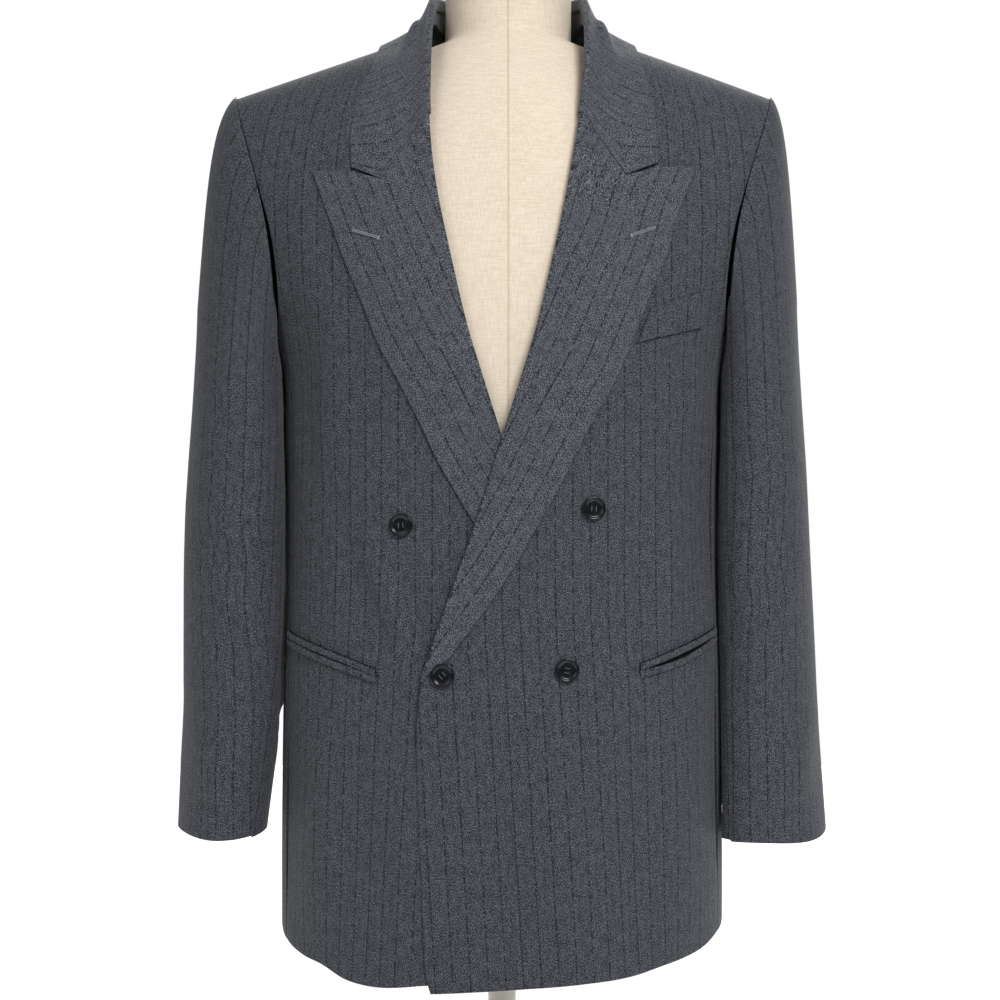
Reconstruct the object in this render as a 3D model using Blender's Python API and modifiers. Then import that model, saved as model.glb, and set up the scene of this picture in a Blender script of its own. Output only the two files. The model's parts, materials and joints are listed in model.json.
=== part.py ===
"""Double breasted blazer on a limbless dress form, modelled in metres, +Z up, front towards -Y.

The blazer is a set of cut pieces, each a wall of cloth with its own thickness: two fronts, two side
panels, two back panels, two lapels, a collar, two-piece sleeves, a breast welt, jetted hip pockets and
four buttons. All of them are laid on one body surface, which is worked out from a table of rings.
"""
import math

import bpy
import bmesh
import numpy as np
from mathutils import Matrix, Vector

# ---------------------------------------------------------------- driving dimensions
CLOTH = 0.0018            # thickness of a cloth wall
SEAM_GAP = 0.0003         # room between two pieces at a seam
LAYER = 0.0010            # room between two cloths that lie on each other

ARMPIT_Z = 0.651
SHOULDER_Z = 0.883        # height of the shoulder point
SHOULDER_X = 0.240        # half the shoulder width
SHOULDER_SLOPE = 0.345
NECK_X = 0.072            # half the neck width at the shoulder seam
RIDGE_Y = 0.004           # the shoulder seam, just behind the middle
CROWN_POWER = 2.2         # how squarely the chest turns into the shoulder
NAPE_DEPTH = 0.058        # neck seam at the centre back, behind the ridge
BACK_HEM_Z = 0.153
NECK_LEAN = 0.0058         # the neck leans a little to the wearer's left
LEAN_REACH = 0.270

UPPER_ROWS = 10
LOWER_ROWS = 15
SEAM_ROW = 2              # row above the armpit where the side panel ends
OVERLAP_LIFT = 2 * (LAYER + CLOTH)

# the body at each level, as the inside of the cloth
# level, half_width, front, back, squareness
BODY_RINGS = (
    (0.110, 0.1955, 0.1420, 0.1260, 2.60),
    (0.250, 0.1955, 0.1400, 0.1260, 2.60),
    (0.370, 0.1940, 0.1340, 0.1170, 2.60),
    (0.480, 0.1915, 0.1270, 0.1080, 2.50),
    (0.570, 0.1930, 0.1270, 0.1120, 2.45),
    (0.651, 0.1990, 0.1300, 0.1200, 2.40),
    (0.674, 0.2070, 0.1300, 0.1220, 2.40),
    (0.709, 0.2275, 0.1290, 0.1240, 2.40),
    (0.767, 0.2560, 0.1260, 0.1240, 2.40),
    (0.825, 0.2800, 0.1220, 0.1200, 2.40),
    (0.860, 0.3050, 0.1180, 0.1160, 2.40),
    (0.883, 0.3180, 0.1150, 0.1130, 2.40),
)
# the armhole seam on the front and on the back
# level, across
ARMHOLE = (
    (0.651, 0.1990),
    (0.662, 0.1965),
    (0.690, 0.1940),
    (0.720, 0.1955),
    (0.750, 0.2000),
    (0.780, 0.2075),
    (0.820, 0.2200),
    (0.860, 0.2330),
    (0.883, 0.2400),
)
# inner edge of a front on the wearer's left: the front edge, then the roll line above the break
# height, across
FRONT_EDGE = (
    (0.120, -0.0570),
    (0.130, -0.0600),
    (0.188, -0.0645),
    (0.246, -0.0670),
    (0.300, -0.0690),
    (0.345, -0.0690),
    (0.370, -0.0660),
    (0.404, -0.0550),
    (0.434, -0.0450),
    (0.508, -0.0190),
    (0.571, 0.0000),
    (0.622, 0.0160),
    (0.664, 0.0290),
    (0.720, 0.0425),
    (0.796, 0.0580),
    (0.828, 0.0625),
    (0.879, 0.0670),
    (0.930, 0.0700),
    (0.960, 0.0715),
)
# the hem of each front, towards its own side
# across, left, right
HEM = (
    (-0.060, 0.1230, 0.1310),
    (0.020, 0.1280, 0.1310),
    (0.060, 0.1305, 0.1290),
    (0.110, 0.1345, 0.1247),
    (0.130, 0.1380, 0.1275),
    (0.150, 0.1405, 0.1355),
    (0.170, 0.1440, 0.1385),
    (0.188, 0.1500, 0.1440),
    (0.200, 0.1530, 0.1530),
)
# outer edges of the lapels; the right one is cut a little narrower
# height, left, right
LAPEL_EDGE = (
    (0.396, -0.0420, -0.0420),
    (0.433, -0.0150, -0.0190),
    (0.469, 0.0090, 0.0030),
    (0.505, 0.0295, 0.0223),
    (0.526, 0.0410, 0.0347),
    (0.559, 0.0575, 0.0536),
    (0.591, 0.0730, 0.0685),
    (0.620, 0.0895, 0.0830),
    (0.655, 0.1050, 0.1020),
    (0.692, 0.1205, 0.1170),
    (0.729, 0.1365, 0.1330),
    (0.769, 0.1485, 0.1483),
    (0.789, 0.1575, 0.1560),
    (0.806, 0.1640, 0.1630),
)
GORGE_TOP = (0.0645, 0.8500)       # where the gorge seam leaves the roll line: across, height
NOTCH = (0.1025, 0.7950)
LAPEL_SHOULDER = (0.1300, 0.8040)  # the lapel's top edge between the notch and the peak
COLLAR_CORNER = (0.1310, 0.8095)
LAPEL_START_Z = 0.396     # the lapel's wall starts just above the fastened button
LAPEL_BOW = 0.0030        # how far a lapel stands off its front along its middle
LAPEL_ROWS = 13
COLLAR_LIFT = 0.0055
COLLAR_SEAM = 2.25         # the station that crosses the top of the front, where it stands off most
COLLAR_SEAM_REACH = 1.5
COLLAR_SEAM_LIFT = 0.0035
COLLAR_HOLLOW = 0.0070    # how far the fall is hollowed between its fold and its edge
STAND_INSET = 0.0024      # the stand lies just inside the fall, under its fold
STAND_DROP = 0.0010
STAND_LEAN = 0.0018
GORGE_GAP = 0.0014
GORGE_STEPS = 3
LAPEL_STEPS = 3

# the collar, from its front end round to the centre back: the fold, the fall's edge and the neck seam
# station, fold_x, fold_y, fold_z, edge_x, edge_y, edge_z, stand
COLLAR_STATIONS = (
    (0, 0.0675, -0.0930, 0.8700, 0.1300, -0.0780, 0.8380, 0.000),
    (1, 0.0695, -0.0740, 0.9050, 0.1245, -0.0660, 0.8680, 0.000),
    (2, 0.0705, -0.0450, 0.9400, 0.1185, -0.0470, 0.8990, 0.004),
    (3, 0.0700, -0.0080, 0.9720, 0.1140, -0.0100, 0.9250, 0.020),
    (4, 0.0660, 0.0200, 0.9800, 0.1120, 0.0320, 0.9290, 0.028),
    (5, 0.0540, 0.0460, 0.9840, 0.0960, 0.0700, 0.9260, 0.034),
    (6, 0.0300, 0.0640, 0.9860, 0.0560, 0.0950, 0.9235, 0.036),
    (7, 0.0000, 0.0690, 0.9865, 0.0000, 0.1030, 0.9230, 0.036),
)
COLLAR_STEP = 0.5         # sections of the collar, in stations

# a sleeve below the armpit
# height, inner_right, inner_left, outer_right, outer_left, front, back
SLEEVE_RINGS = (
    (0.630, 0.1930, 0.1930, 0.2800, 0.2710, 0.0800, 0.0700),
    (0.540, 0.1920, 0.1910, 0.2848, 0.2755, 0.0800, 0.0660),
    (0.470, 0.1920, 0.1900, 0.2865, 0.2780, 0.0800, 0.0590),
    (0.400, 0.1920, 0.1900, 0.2860, 0.2806, 0.0800, 0.0500),
    (0.340, 0.1960, 0.1900, 0.2855, 0.2825, 0.0810, 0.0420),
    (0.290, 0.2020, 0.1890, 0.2870, 0.2850, 0.0830, 0.0350),
    (0.229, 0.2090, 0.1870, 0.2885, 0.2880, 0.0860, 0.0290),
)
CUFF_RISE = {1: 0.0020, -1: 0.0060}       # each cuff is a little higher at its front
SLEEVE_TOE = 0.012        # how far the front of a sleeve turns in towards the body
SLEEVE_CLEARANCE = 0.0046
HEAD_ROWS = 6
SLEEVE_ROWS = 10
UNDER_SLEEVE = (7, 15)    # the steps round a sleeve between which the under sleeve lies

# breast welt, its lower and upper edges from the lapel outwards: across, height
WELT_LOWER = ((0.1105, 0.6565), (0.1690, 0.6715))
WELT_UPPER = ((0.1225, 0.6850), (0.1725, 0.7025))
# the hip pockets' mouths: across, height
POCKET_MOUTH = {"right": ((0.1037, 0.3795), (0.1400, 0.3895), (0.1720, 0.3985)),
                "left": ((0.1137, 0.3843), (0.1450, 0.3890), (0.1720, 0.3995))}
JET_HEIGHT = 0.0055
JET_GAP = 0.0010
BAND_GAP = 0.0006         # room under a welt or a jet

BUTTON_RADIUS = 0.0100
BUTTON_THICK = 0.0034
# name, across, height, layer it rests on
BUTTONS = (
    ("button_upper_right", -0.0830, 0.5045, "right"),
    ("button_upper_left", 0.0740, 0.5185, "left"),
    ("button_lower_left", 0.0525, 0.3860, "left"),
    ("button_fastened", -0.0480, 0.3820, "left"),
)

FORM_INSET = 0.0035
FORM_SEAT = 0.0006        # room between the form's shoulders and the cloth that rests on them
NECK_INSET = 0.0070       # the form is slimmer under the collar
FORM_BOTTOM_Z = 0.180
FORM_NECK_TOP_Z = 1.000
FORM_NECK = (0.0625, 0.0580, 0.0500)      # half width, and reach to the front and to the back
BASE_RADIUS = 0.176
BASE_THICK = 0.012
POLE_RADIUS = 0.0125

# colours: red, green, blue, then roughness and metallic
FINISHES = {
    "worsted": ((0.052, 0.056, 0.066), 0.85, 0.0),
    "undercollar": ((0.050, 0.054, 0.064), 0.90, 0.0),
    "button": ((0.030, 0.032, 0.038), 0.35, 0.0),
    "linen": ((0.780, 0.690, 0.560), 0.85, 0.0),
    "stand": ((0.800, 0.800, 0.790), 0.40, 0.0),
}


# ---------------------------------------------------------------- curves and the body surface
def smooth(table, level, column):
    """Read one column of a table at a level, on a smooth curve through its rows."""
    rows = np.array(table, dtype=float)
    knots, values = rows[:, 0], rows[:, column]
    slopes = np.gradient(values, knots)
    level = min(max(level, knots[0]), knots[-1])
    i = min(int(np.searchsorted(knots, level, side="right")) - 1, len(knots) - 2)
    span = knots[i + 1] - knots[i]
    t = (level - knots[i]) / span
    h00 = (1 + 2 * t) * (1 - t) ** 2
    h10 = t * (1 - t) ** 2
    h01 = t * t * (3 - 2 * t)
    h11 = t * t * (t - 1)
    return h00 * values[i] + h10 * span * slopes[i] + h01 * values[i + 1] + h11 * span * slopes[i + 1]


def ease(value, start, end):
    """Go smoothly from 0 at start to 1 at end."""
    t = min(max((value - start) / (end - start), 0.0), 1.0)
    return t * t * (3 - 2 * t)


def shoulder_line(x):
    """Height of the shoulder seam."""
    return SHOULDER_Z + SHOULDER_SLOPE * (SHOULDER_X - max(abs(x), NECK_X))


def level_of(x, z):
    """The body level of a point: its height up to the armpit, and stretched to the shoulder above."""
    if z <= ARMPIT_Z:
        return z
    return ARMPIT_Z + (z - ARMPIT_Z) * (SHOULDER_Z - ARMPIT_Z) / (shoulder_line(x) - ARMPIT_Z)


def height_of(x, level):
    if level <= ARMPIT_Z:
        return level
    return ARMPIT_Z + (level - ARMPIT_Z) * (shoulder_line(x) - ARMPIT_Z) / (SHOULDER_Z - ARMPIT_Z)


def crown(level):
    """1 on the chest, falling to 0 at the shoulder seam."""
    t = min(max((level - ARMPIT_Z) / (SHOULDER_Z - ARMPIT_Z), 0.0), 1.0)
    return (1 - t ** CROWN_POWER) ** (1 / CROWN_POWER)


def neck_reach(x, reach):
    """How far the neck seam lies from the ridge."""
    return reach * math.sqrt(max(0.0, 1 - (x / NECK_X) ** 2))


def on_body(x, level, facing):
    """A point on the body at a level: facing is -1 on the front and 1 on the back."""
    half = smooth(BODY_RINGS, level, 1)
    depth = smooth(BODY_RINGS, level, 2 if facing < 0 else 3)
    power = smooth(BODY_RINGS, level, 4)
    round_side = max(0.0, 1 - (abs(x) / half) ** power) ** (1 / power)
    top = crown(level)
    neck = neck_reach(x, NAPE_DEPTH) * (1 - top)
    y = RIDGE_Y + facing * (SEAM_GAP / 2 + depth * round_side * top + neck)
    return Vector((x, y, height_of(x, level)))


def body_normal(x, level, facing):
    """The outward direction of the body surface there."""
    step = 0.0015
    side = -1 if x > 0 else 1
    low, high = level - step, min(level, SHOULDER_Z - 0.0002)
    across = (on_body(x + side * step, level, facing) - on_body(x, level, facing)) * side
    up = on_body(x, high, facing) - on_body(x, low, facing)
    normal = across.cross(up) * -facing
    return normal.normalized()


def out_from_body(x, level, facing, distance):
    return on_body(x, level, facing) + body_normal(x, level, facing) * distance


def overlap_lift(x, z, side):
    """The wearer's left front lies over the right one, and over its lapel."""
    if side < 0:
        return 0.0
    low = 0.55 + 0.45 * ease(z, 0.300, 0.375)
    return OVERLAP_LIFT * low * (1 - ease(x, 0.080, 0.160)) * (1 - ease(z, 0.600, 0.740))


def lean(point):
    """The slight lean of the neck."""
    amount = NECK_LEAN * ease(point[2], 0.78, 0.95) * max(0.0, 1 - abs(point[0] / LEAN_REACH) ** 3)
    return Vector((point[0] + amount, point[1], point[2]))


def hem_height(x, side):
    """Height of the hem of the front on one side of the wearer."""
    return smooth(HEM, x, 1 if side > 0 else 2)


def armhole_level(row):
    """Levels of the rows above the armpit, close together at its two ends."""
    return ARMPIT_Z + (SHOULDER_Z - ARMPIT_Z) * (1 - math.cos(math.pi * row / UPPER_ROWS)) / 2


def side_angle_x(level, x):
    """Turn a distance across into the angle round the body."""
    half = smooth(BODY_RINGS, level, 1)
    power = smooth(BODY_RINGS, level, 4)
    return math.asin(min(1.0, (abs(x) / half) ** (power / 2)))


SEAM_LEVEL = armhole_level(SEAM_ROW)
SEAM_ANGLE = side_angle_x(SEAM_LEVEL, smooth(ARMHOLE, SEAM_LEVEL, 1))


def seam_x(level):
    """Where the side panel's seams lie below the armhole."""
    half = smooth(BODY_RINGS, level, 1)
    power = smooth(BODY_RINGS, level, 4)
    return half * math.sin(SEAM_ANGLE) ** (2 / power)


SIDE_SEAM_HEM = {side: hem_height(seam_x(ARMPIT_Z - 0.5), side) for side in (1, -1)}


# ---------------------------------------------------------------- objects
def material(name):
    found = bpy.data.materials.get(name)
    if found:
        return found
    colour, roughness, metallic = FINISHES[name]
    made = bpy.data.materials.new(name)
    made.use_nodes = True
    shader = made.node_tree.nodes["Principled BSDF"]
    shader.inputs["Base Color"].default_value = (*colour, 1.0)
    shader.inputs["Roughness"].default_value = roughness
    shader.inputs["Metallic"].default_value = metallic
    made.diffuse_color = (*colour, 1.0)
    return made


def own_material(name, finish):
    """Each object has its own copy of its finish."""
    made = material(finish).copy()
    made.name = name + "_" + finish
    return made


def add_object(name, mesh, finish, collection):
    made = bpy.data.objects.new(name, mesh)
    mesh.materials.append(own_material(name, finish))
    collection.objects.link(made)
    return made


def sheet_mesh(name, grid, closed=False):
    """An open surface through a grid of points, rows first."""
    rows, columns = len(grid), len(grid[0])
    points = [lean(p) for row in grid for p in row]
    faces = []
    for r in range(rows - 1):
        for c in range(columns if closed else columns - 1):
            n = (c + 1) % columns
            faces.append((r * columns + c, r * columns + n, (r + 1) * columns + n, (r + 1) * columns + c))
    mesh = bpy.data.meshes.new(name)
    mesh.from_pydata(points, [], faces)
    mesh.update()
    mesh.shade_smooth()
    return mesh


def cloth(name, grid, collection, finish="worsted", flip=False, thick=CLOTH):
    """A piece of cloth: a surface given its wall on the outside."""
    mesh = sheet_mesh(name, grid)
    if flip:
        mesh.flip_normals()
    made = add_object(name, mesh, finish, collection)
    wall = made.modifiers.new("wall", "SOLIDIFY")
    wall.thickness = thick
    wall.offset = 1.0
    return made


def pull_in(grid, first=True, last=True, distance=SEAM_GAP / 2):
    """Draw the side edges of a piece back from its seams."""
    for row in grid:
        if first:
            row[0] = row[0] + (row[1] - row[0]).normalized() * distance
        if last:
            row[-1] = row[-1] + (row[-2] - row[-1]).normalized() * distance
    return grid


def pull_rows(grid, distance):
    """Draw the top edge of a piece back from its seam."""
    for c, point in enumerate(grid[-1]):
        grid[-1][c] = point + (grid[-2][c] - point).normalized() * distance
    return grid


def mirrored(grid, side):
    return [[Vector((side * p[0], p[1], p[2])) for p in row] for row in grid]


# ---------------------------------------------------------------- body panels
def body_rows():
    """Rows of the fronts and backs, from the hem up: how far down to the hem, or a level."""
    lower = [("hem", 1 - r / LOWER_ROWS) for r in range(LOWER_ROWS + 1)]
    upper = [("level", armhole_level(r)) for r in range(SEAM_ROW, UPPER_ROWS + 1)]
    return lower + upper


def row_level(kind, amount, hem):
    """The level of a row at a place where the hem has this height."""
    if kind == "level":
        return amount
    return ARMPIT_Z - amount * (ARMPIT_Z - hem)


def outer_x(kind, amount, hem):
    """The side seam below the armhole, and the armhole above it."""
    if kind == "level":
        return smooth(ARMHOLE, amount, 1)
    return seam_x(row_level(kind, amount, hem))


def front_grid(side, steps=8):
    grid = []
    for kind, amount in body_rows():
        edge_level = row_level(kind, amount, hem_height(-0.06, side))
        inner = smooth(FRONT_EDGE, height_of(NECK_X, edge_level), 1)
        outer = outer_x(kind, amount, SIDE_SEAM_HEM[side])
        row = []
        for c in range(steps + 1):
            x = inner + (outer - inner) * (1 - (1 - c / steps) ** 1.15)
            level = row_level(kind, amount, hem_height(x, side))
            lift = overlap_lift(x, height_of(x, level), side)
            row.append(out_from_body(x, level, -1, lift))
        grid.append(row)
    return pull_in(mirrored(grid, side), first=False)


def back_grid(side):
    across = (0.0, 0.13, 0.24, 0.3167, 0.49, 0.66, 0.83, 1.0)
    grid = []
    for kind, amount in body_rows():
        outer = outer_x(kind, amount, BACK_HEM_Z)
        row = [on_body(outer * share, row_level(kind, amount, BACK_HEM_Z), 1) for share in across]
        grid.append(row)
    return pull_in(mirrored(grid, side))


def side_grid(side):
    """The panel under the arm, from the front seam round to the back seam."""
    angles = [side_angle_x(armhole_level(r), smooth(ARMHOLE, armhole_level(r), 1))
              for r in range(SEAM_ROW, -1, -1)]
    levels = [armhole_level(r) for r in range(SEAM_ROW, -1, -1)]
    angles += [math.pi - a for a in angles[-2::-1]]
    levels += levels[-2::-1]
    grid = []
    for r in range(LOWER_ROWS + 2):
        row = []
        for angle, top in zip(angles, levels):
            if r <= LOWER_ROWS:
                turn = ease(angle, SEAM_ANGLE, math.pi / 2)
                hem = SIDE_SEAM_HEM[side] + (BACK_HEM_Z - SIDE_SEAM_HEM[side]) * turn
                level = ARMPIT_Z - (1 - r / LOWER_ROWS) * (ARMPIT_Z - hem)
            else:
                level = top
            half = smooth(BODY_RINGS, level, 1)
            power = smooth(BODY_RINGS, level, 4)
            x = half * math.sin(angle) ** (2 / power)
            facing = -1 if math.cos(angle) > 1e-9 else 1
            row.append(on_body(x, level, facing))
        grid.append(row)
    return pull_in(mirrored(grid, side))


# ---------------------------------------------------------------- lapels and collar
def lay(x, z, side, lift):
    """A point of the front at a place, lifted off it."""
    level = level_of(x, z)
    return out_from_body(x, level, -1, lift + overlap_lift(x, z, side))


def polyline(points, steps):
    """Points along straight stretches, so many steps on each."""
    made = [Vector(points[0])]
    for start, end, count in zip(points, points[1:], steps):
        for i in range(1, count + 1):
            made.append(Vector(start).lerp(Vector(end), i / count))
    return made


def lapel_lift(width, z, side):
    """How far a lapel stands off its front: bowed, but flat where the other front covers it."""
    bow = LAPEL_BOW * math.sin(math.pi * width) * ease(z, 0.40, 0.50)
    if side < 0:
        bow *= ease(z, 0.56, 0.68)
    return CLOTH + LAYER + bow


def lapel_grid(side):
    """From just above the break up to the gorge seam and the lapel's top edge."""
    column = 1 if side > 0 else 2
    tip_z = LAPEL_EDGE[-1][0]
    tip = (smooth(LAPEL_EDGE, tip_z, column), tip_z, 0)
    corners = [(*GORGE_TOP, 0), (*NOTCH, 0), (*LAPEL_SHOULDER, 0), tip]
    top = polyline(corners, (GORGE_STEPS, LAPEL_STEPS - 1, 1))
    grid = []
    for r in range(LAPEL_ROWS + 1):
        share = (r / LAPEL_ROWS) ** 0.95
        inner_z = LAPEL_START_Z + (GORGE_TOP[1] - LAPEL_START_Z) * share
        outer_z = LAPEL_START_Z + (tip_z - LAPEL_START_Z) * share
        inner = Vector((smooth(FRONT_EDGE, inner_z, 1), inner_z, 0))
        outer = Vector((smooth(LAPEL_EDGE, outer_z, column), outer_z, 0))
        bend = ease(share, 0.45, 1.0)
        row = []
        for c, target in enumerate(top):
            width = c / (len(top) - 1)
            flat = inner.lerp(outer, width) + (target - top[0].lerp(top[-1], width)) * bend
            row.append(lay(flat[0], flat[1], side, lapel_lift(width, flat[1], side)))
        grid.append(row)
    return mirrored(pull_rows(grid, SEAM_GAP), side)


def clear_of_body(point, lift):
    """Move a point of the collar out of the body, on its own side of the shoulder seam."""
    x, y, z = point
    facing = -1 if y < RIDGE_Y else 1
    top = shoulder_line(x)
    if z > top + lift or (facing < 0 and abs(x) < NECK_X - 0.008):
        return point
    if z > top - 0.004:
        return Vector((x, y, max(z, top + lift))) if abs(x) > NECK_X else point
    surface = out_from_body(x, level_of(x, z), facing, lift)
    return Vector((x, min(y, surface[1]) if facing < 0 else max(y, surface[1]), z))


def collar_point(station, column):
    """A point on one of the collar's long lines: its fold, or the edge of its fall."""
    return Vector([smooth(COLLAR_STATIONS, station, column + i) for i in range(3)])


def collar_half():
    """Sections of the fall from the gorge seam round to the centre back, each from fold to edge."""
    flat = polyline([(*GORGE_TOP, 0), (*NOTCH, 0), (*COLLAR_CORNER, 0)], (GORGE_STEPS, LAPEL_STEPS - 1))
    width = GORGE_STEPS + LAPEL_STEPS
    lap = CLOTH + 2 * SEAM_GAP
    first = [lay(p[0], p[1] + GORGE_GAP, -1, lapel_lift(c / width, p[1], 1) + lap)
             for c, p in enumerate(flat)]
    half = [first]
    for station in np.arange(0.0, 7.01, COLLAR_STEP):
        fold, edge = collar_point(station, 1), collar_point(station, 4)
        out = Vector((edge[0] - fold[0], edge[1] - fold[1], 0)).normalized()
        fall = []
        for i in range(len(first)):
            t = i / (len(first) - 1)
            hollow = COLLAR_HOLLOW * math.sin(math.pi * t)
            point = fold.lerp(edge, t) - out * hollow * 0.7 - Vector((0, 0, hollow))
            over_seam = max(0.0, 1 - abs(station - COLLAR_SEAM) / COLLAR_SEAM_REACH)
            fall.append(clear_of_body(point, COLLAR_LIFT + COLLAR_SEAM_LIFT * over_seam))
        half.append(fall)
    return half


def both_halves(half):
    """Join a row of sections to its mirror image across the centre back."""
    other = [[Vector((-p[0], p[1], p[2])) for p in row] for row in half[:-1]]
    return half + other[::-1]


def stand_half():
    """Sections of the stand, from the neck seam up to just under the fold."""
    half = []
    for station in np.arange(2.0, 7.01, COLLAR_STEP):
        fold, height = collar_point(station, 1), smooth(COLLAR_STATIONS, station, 7)
        inward = Vector((-fold[0], RIDGE_Y - fold[1], 0)).normalized()
        top = fold + inward * STAND_INSET - Vector((0, 0, STAND_DROP))
        foot = top - Vector((0, 0, height)) + inward * STAND_LEAN
        half.append([foot, foot.lerp(top, 0.5), top])
    return half


# ---------------------------------------------------------------- sleeves
def side_reach(y, z):
    """How far out the body's side lies at a distance to the front or back."""
    level = min(z, ARMPIT_Z)
    half = smooth(BODY_RINGS, level, 1)
    depth = smooth(BODY_RINGS, level, 2 if y < RIDGE_Y else 3)
    power = smooth(BODY_RINGS, level, 4)
    return half * max(0.0, 1 - min(1.0, abs(y - RIDGE_Y) / depth) ** power) ** (1 / power)


def armhole_ring():
    """The armhole seam, from the shoulder point round by the front to the armpit and back."""
    ring = []
    for j in range(2 * UPPER_ROWS):
        row = UPPER_ROWS - j if j <= UPPER_ROWS else j - UPPER_ROWS
        facing = -1 if j <= UPPER_ROWS else 1
        level = armhole_level(row)
        x = smooth(ARMHOLE, level, 1)
        turned_under = (1 - math.cos(math.pi * j / UPPER_ROWS)) / 2
        ring.append(out_from_body(x, level, facing, CLOTH * (1 + turned_under) + SEAM_GAP))
    return ring


def sleeve_ring(z, side):
    """A ring of the sleeve's tube, in the same order as the armhole's."""
    levels = [(-row[0],) + row[1:] for row in SLEEVE_RINGS]
    columns = (2, 4, 5, 6) if side > 0 else (1, 3, 5, 6)
    inner, outer, front, back = (smooth(levels, -z, c) for c in columns)
    toe = SLEEVE_TOE
    half = (outer - inner) / 2
    reach = math.sqrt(max(half ** 2 - toe ** 2, 1e-6))
    middle = (outer + inner) / 2
    centre_y, deep = (back - front) / 2, (back + front) / 2
    ring = []
    for j in range(2 * UPPER_ROWS):
        angle = math.pi * j / UPPER_ROWS
        c, s = math.cos(angle), math.sin(angle)
        across = math.copysign(abs(c) ** 0.90, c)
        along = math.copysign(abs(s) ** 0.90, s)
        x = middle + reach * across - toe * along
        y = centre_y - deep * along
        clear = side_reach(y, z) + 2 * CLOTH + SLEEVE_CLEARANCE
        rise = CUFF_RISE[side] * (1 - ease(z, SLEEVE_RINGS[-1][0], 0.34)) * ease(-y, -0.03, 0.09)
        ring.append(Vector((max(x, clear), y, z + rise)))
    return ring


def sleeve_grid(side):
    start = armhole_ring()
    top_z, cuff_z = SLEEVE_RINGS[0][0], SLEEVE_RINGS[-1][0]
    biceps = sleeve_ring(top_z, side)
    grid = [start]
    for r in range(1, HEAD_ROWS + 1):
        t = r / HEAD_ROWS
        out = 0.42 * (1 - (1 - t) ** 6) + 0.58 * t
        down = t ** 1.25
        row = []
        for a, b in zip(start, biceps):
            inward = ease(t, 0.3, 1.0) if b[0] < a[0] else out
            x = a[0] + (b[0] - a[0]) * inward
            y = a[1] + (b[1] - a[1]) * out
            row.append(Vector((x, y, a[2] + (b[2] - a[2]) * down)))
        grid.append(row)
    for r in range(1, SLEEVE_ROWS + 1):
        z = top_z + (cuff_z - top_z) * r / SLEEVE_ROWS
        grid.append(sleeve_ring(z, side))
    return mirrored(grid, side)


def sleeve_pieces(side, name, collection):
    grid = sleeve_grid(side)
    first, last = UNDER_SLEEVE
    count = 2 * UPPER_ROWS
    under = [[row[j] for j in range(first, last + 1)] for row in grid]
    upper = [[row[j % count] for j in range(last, count + first + 1)] for row in grid]
    flip = side < 0
    cloth("sleeve_upper_" + name, pull_in(upper), collection, flip=flip)
    cloth("sleeve_under_" + name, pull_in(under), collection, flip=flip)


# ---------------------------------------------------------------- pockets and buttons
def band_grid(lower, upper, side, steps=6):
    """A band of cloth on the front, between two paths."""
    grid = []
    for i in (0, 1, 2):
        row = []
        for c in range(steps + 1):
            t = c / steps * (len(lower) - 1)
            k = min(int(t), len(lower) - 2)
            low = Vector(lower[k]).lerp(Vector(lower[k + 1]), t - k)
            high = Vector(upper[k]).lerp(Vector(upper[k + 1]), t - k)
            x, z = low.lerp(high, i / 2)
            row.append(lay(x, z, side, CLOTH + BAND_GAP))
        grid.append(row)
    return mirrored(grid, side)


def jet_grid(mouth, start, side):
    """One of the two bands that edge a hip pocket."""
    lower = [(x, z + start) for x, z in mouth]
    upper = [(x, z + start + JET_HEIGHT) for x, z in mouth]
    return band_grid(lower, upper, side)


def button_mesh():
    """A turned four-hole button: a rim round a shallow dish."""
    r, t = BUTTON_RADIUS, BUTTON_THICK
    profile = [(0.0, 0.55 * t), (0.62 * r, 0.60 * t), (0.74 * r, t), (0.90 * r, t), (r, 0.55 * t),
               (0.86 * r, 0.0), (0.0, 0.0)]
    mesh = bpy.data.meshes.new("button_profile")
    mesh.from_pydata([(x, 0, z) for x, z in profile], [(i, i + 1) for i in range(len(profile) - 1)], [])
    return mesh


def add_button(name, x, z, layer, collection, cutters):
    side = 1 if layer == "left" else -1
    level = level_of(abs(x), z)
    lift = overlap_lift(x * side if side > 0 else abs(x), z, side)
    spot = out_from_body(x, level, -1, CLOTH + SEAM_GAP + lift)
    normal = body_normal(x, level, -1)
    place = Matrix.Translation(lean(spot)) @ normal.to_track_quat("Z", "Y").to_matrix().to_4x4()
    made = add_object(name, button_mesh(), "button", collection)
    made.matrix_world = place
    turn = made.modifiers.new("turn", "SCREW")
    turn.axis = "Z"
    turn.steps = 20
    turn.render_steps = 20
    turn.use_merge_vertices = True
    turn.merge_threshold = 0.00001
    for i in range(4):
        angle = math.pi / 4 + i * math.pi / 2
        hole = bpy.data.meshes.new(name + "_hole")
        shape = bmesh.new()
        bmesh.ops.create_cone(shape, cap_ends=True, segments=8, radius1=0.0010, radius2=0.0010,
                              depth=4 * BUTTON_THICK)
        shape.to_mesh(hole)
        shape.free()
        cutter = bpy.data.objects.new(name + "_hole_%d" % i, hole)
        cutters.objects.link(cutter)
        offset = Vector((math.cos(angle), math.sin(angle), 0)) * 0.27 * BUTTON_RADIUS
        cutter.matrix_world = place @ Matrix.Translation(offset)
        cutter.hide_render = True
        cutter.display_type = "WIRE"
        cut = made.modifiers.new("hole_%d" % i, "BOOLEAN")
        cut.operation = "DIFFERENCE"
        cut.solver = "EXACT"
        cut.object = cutter
    return made


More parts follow.
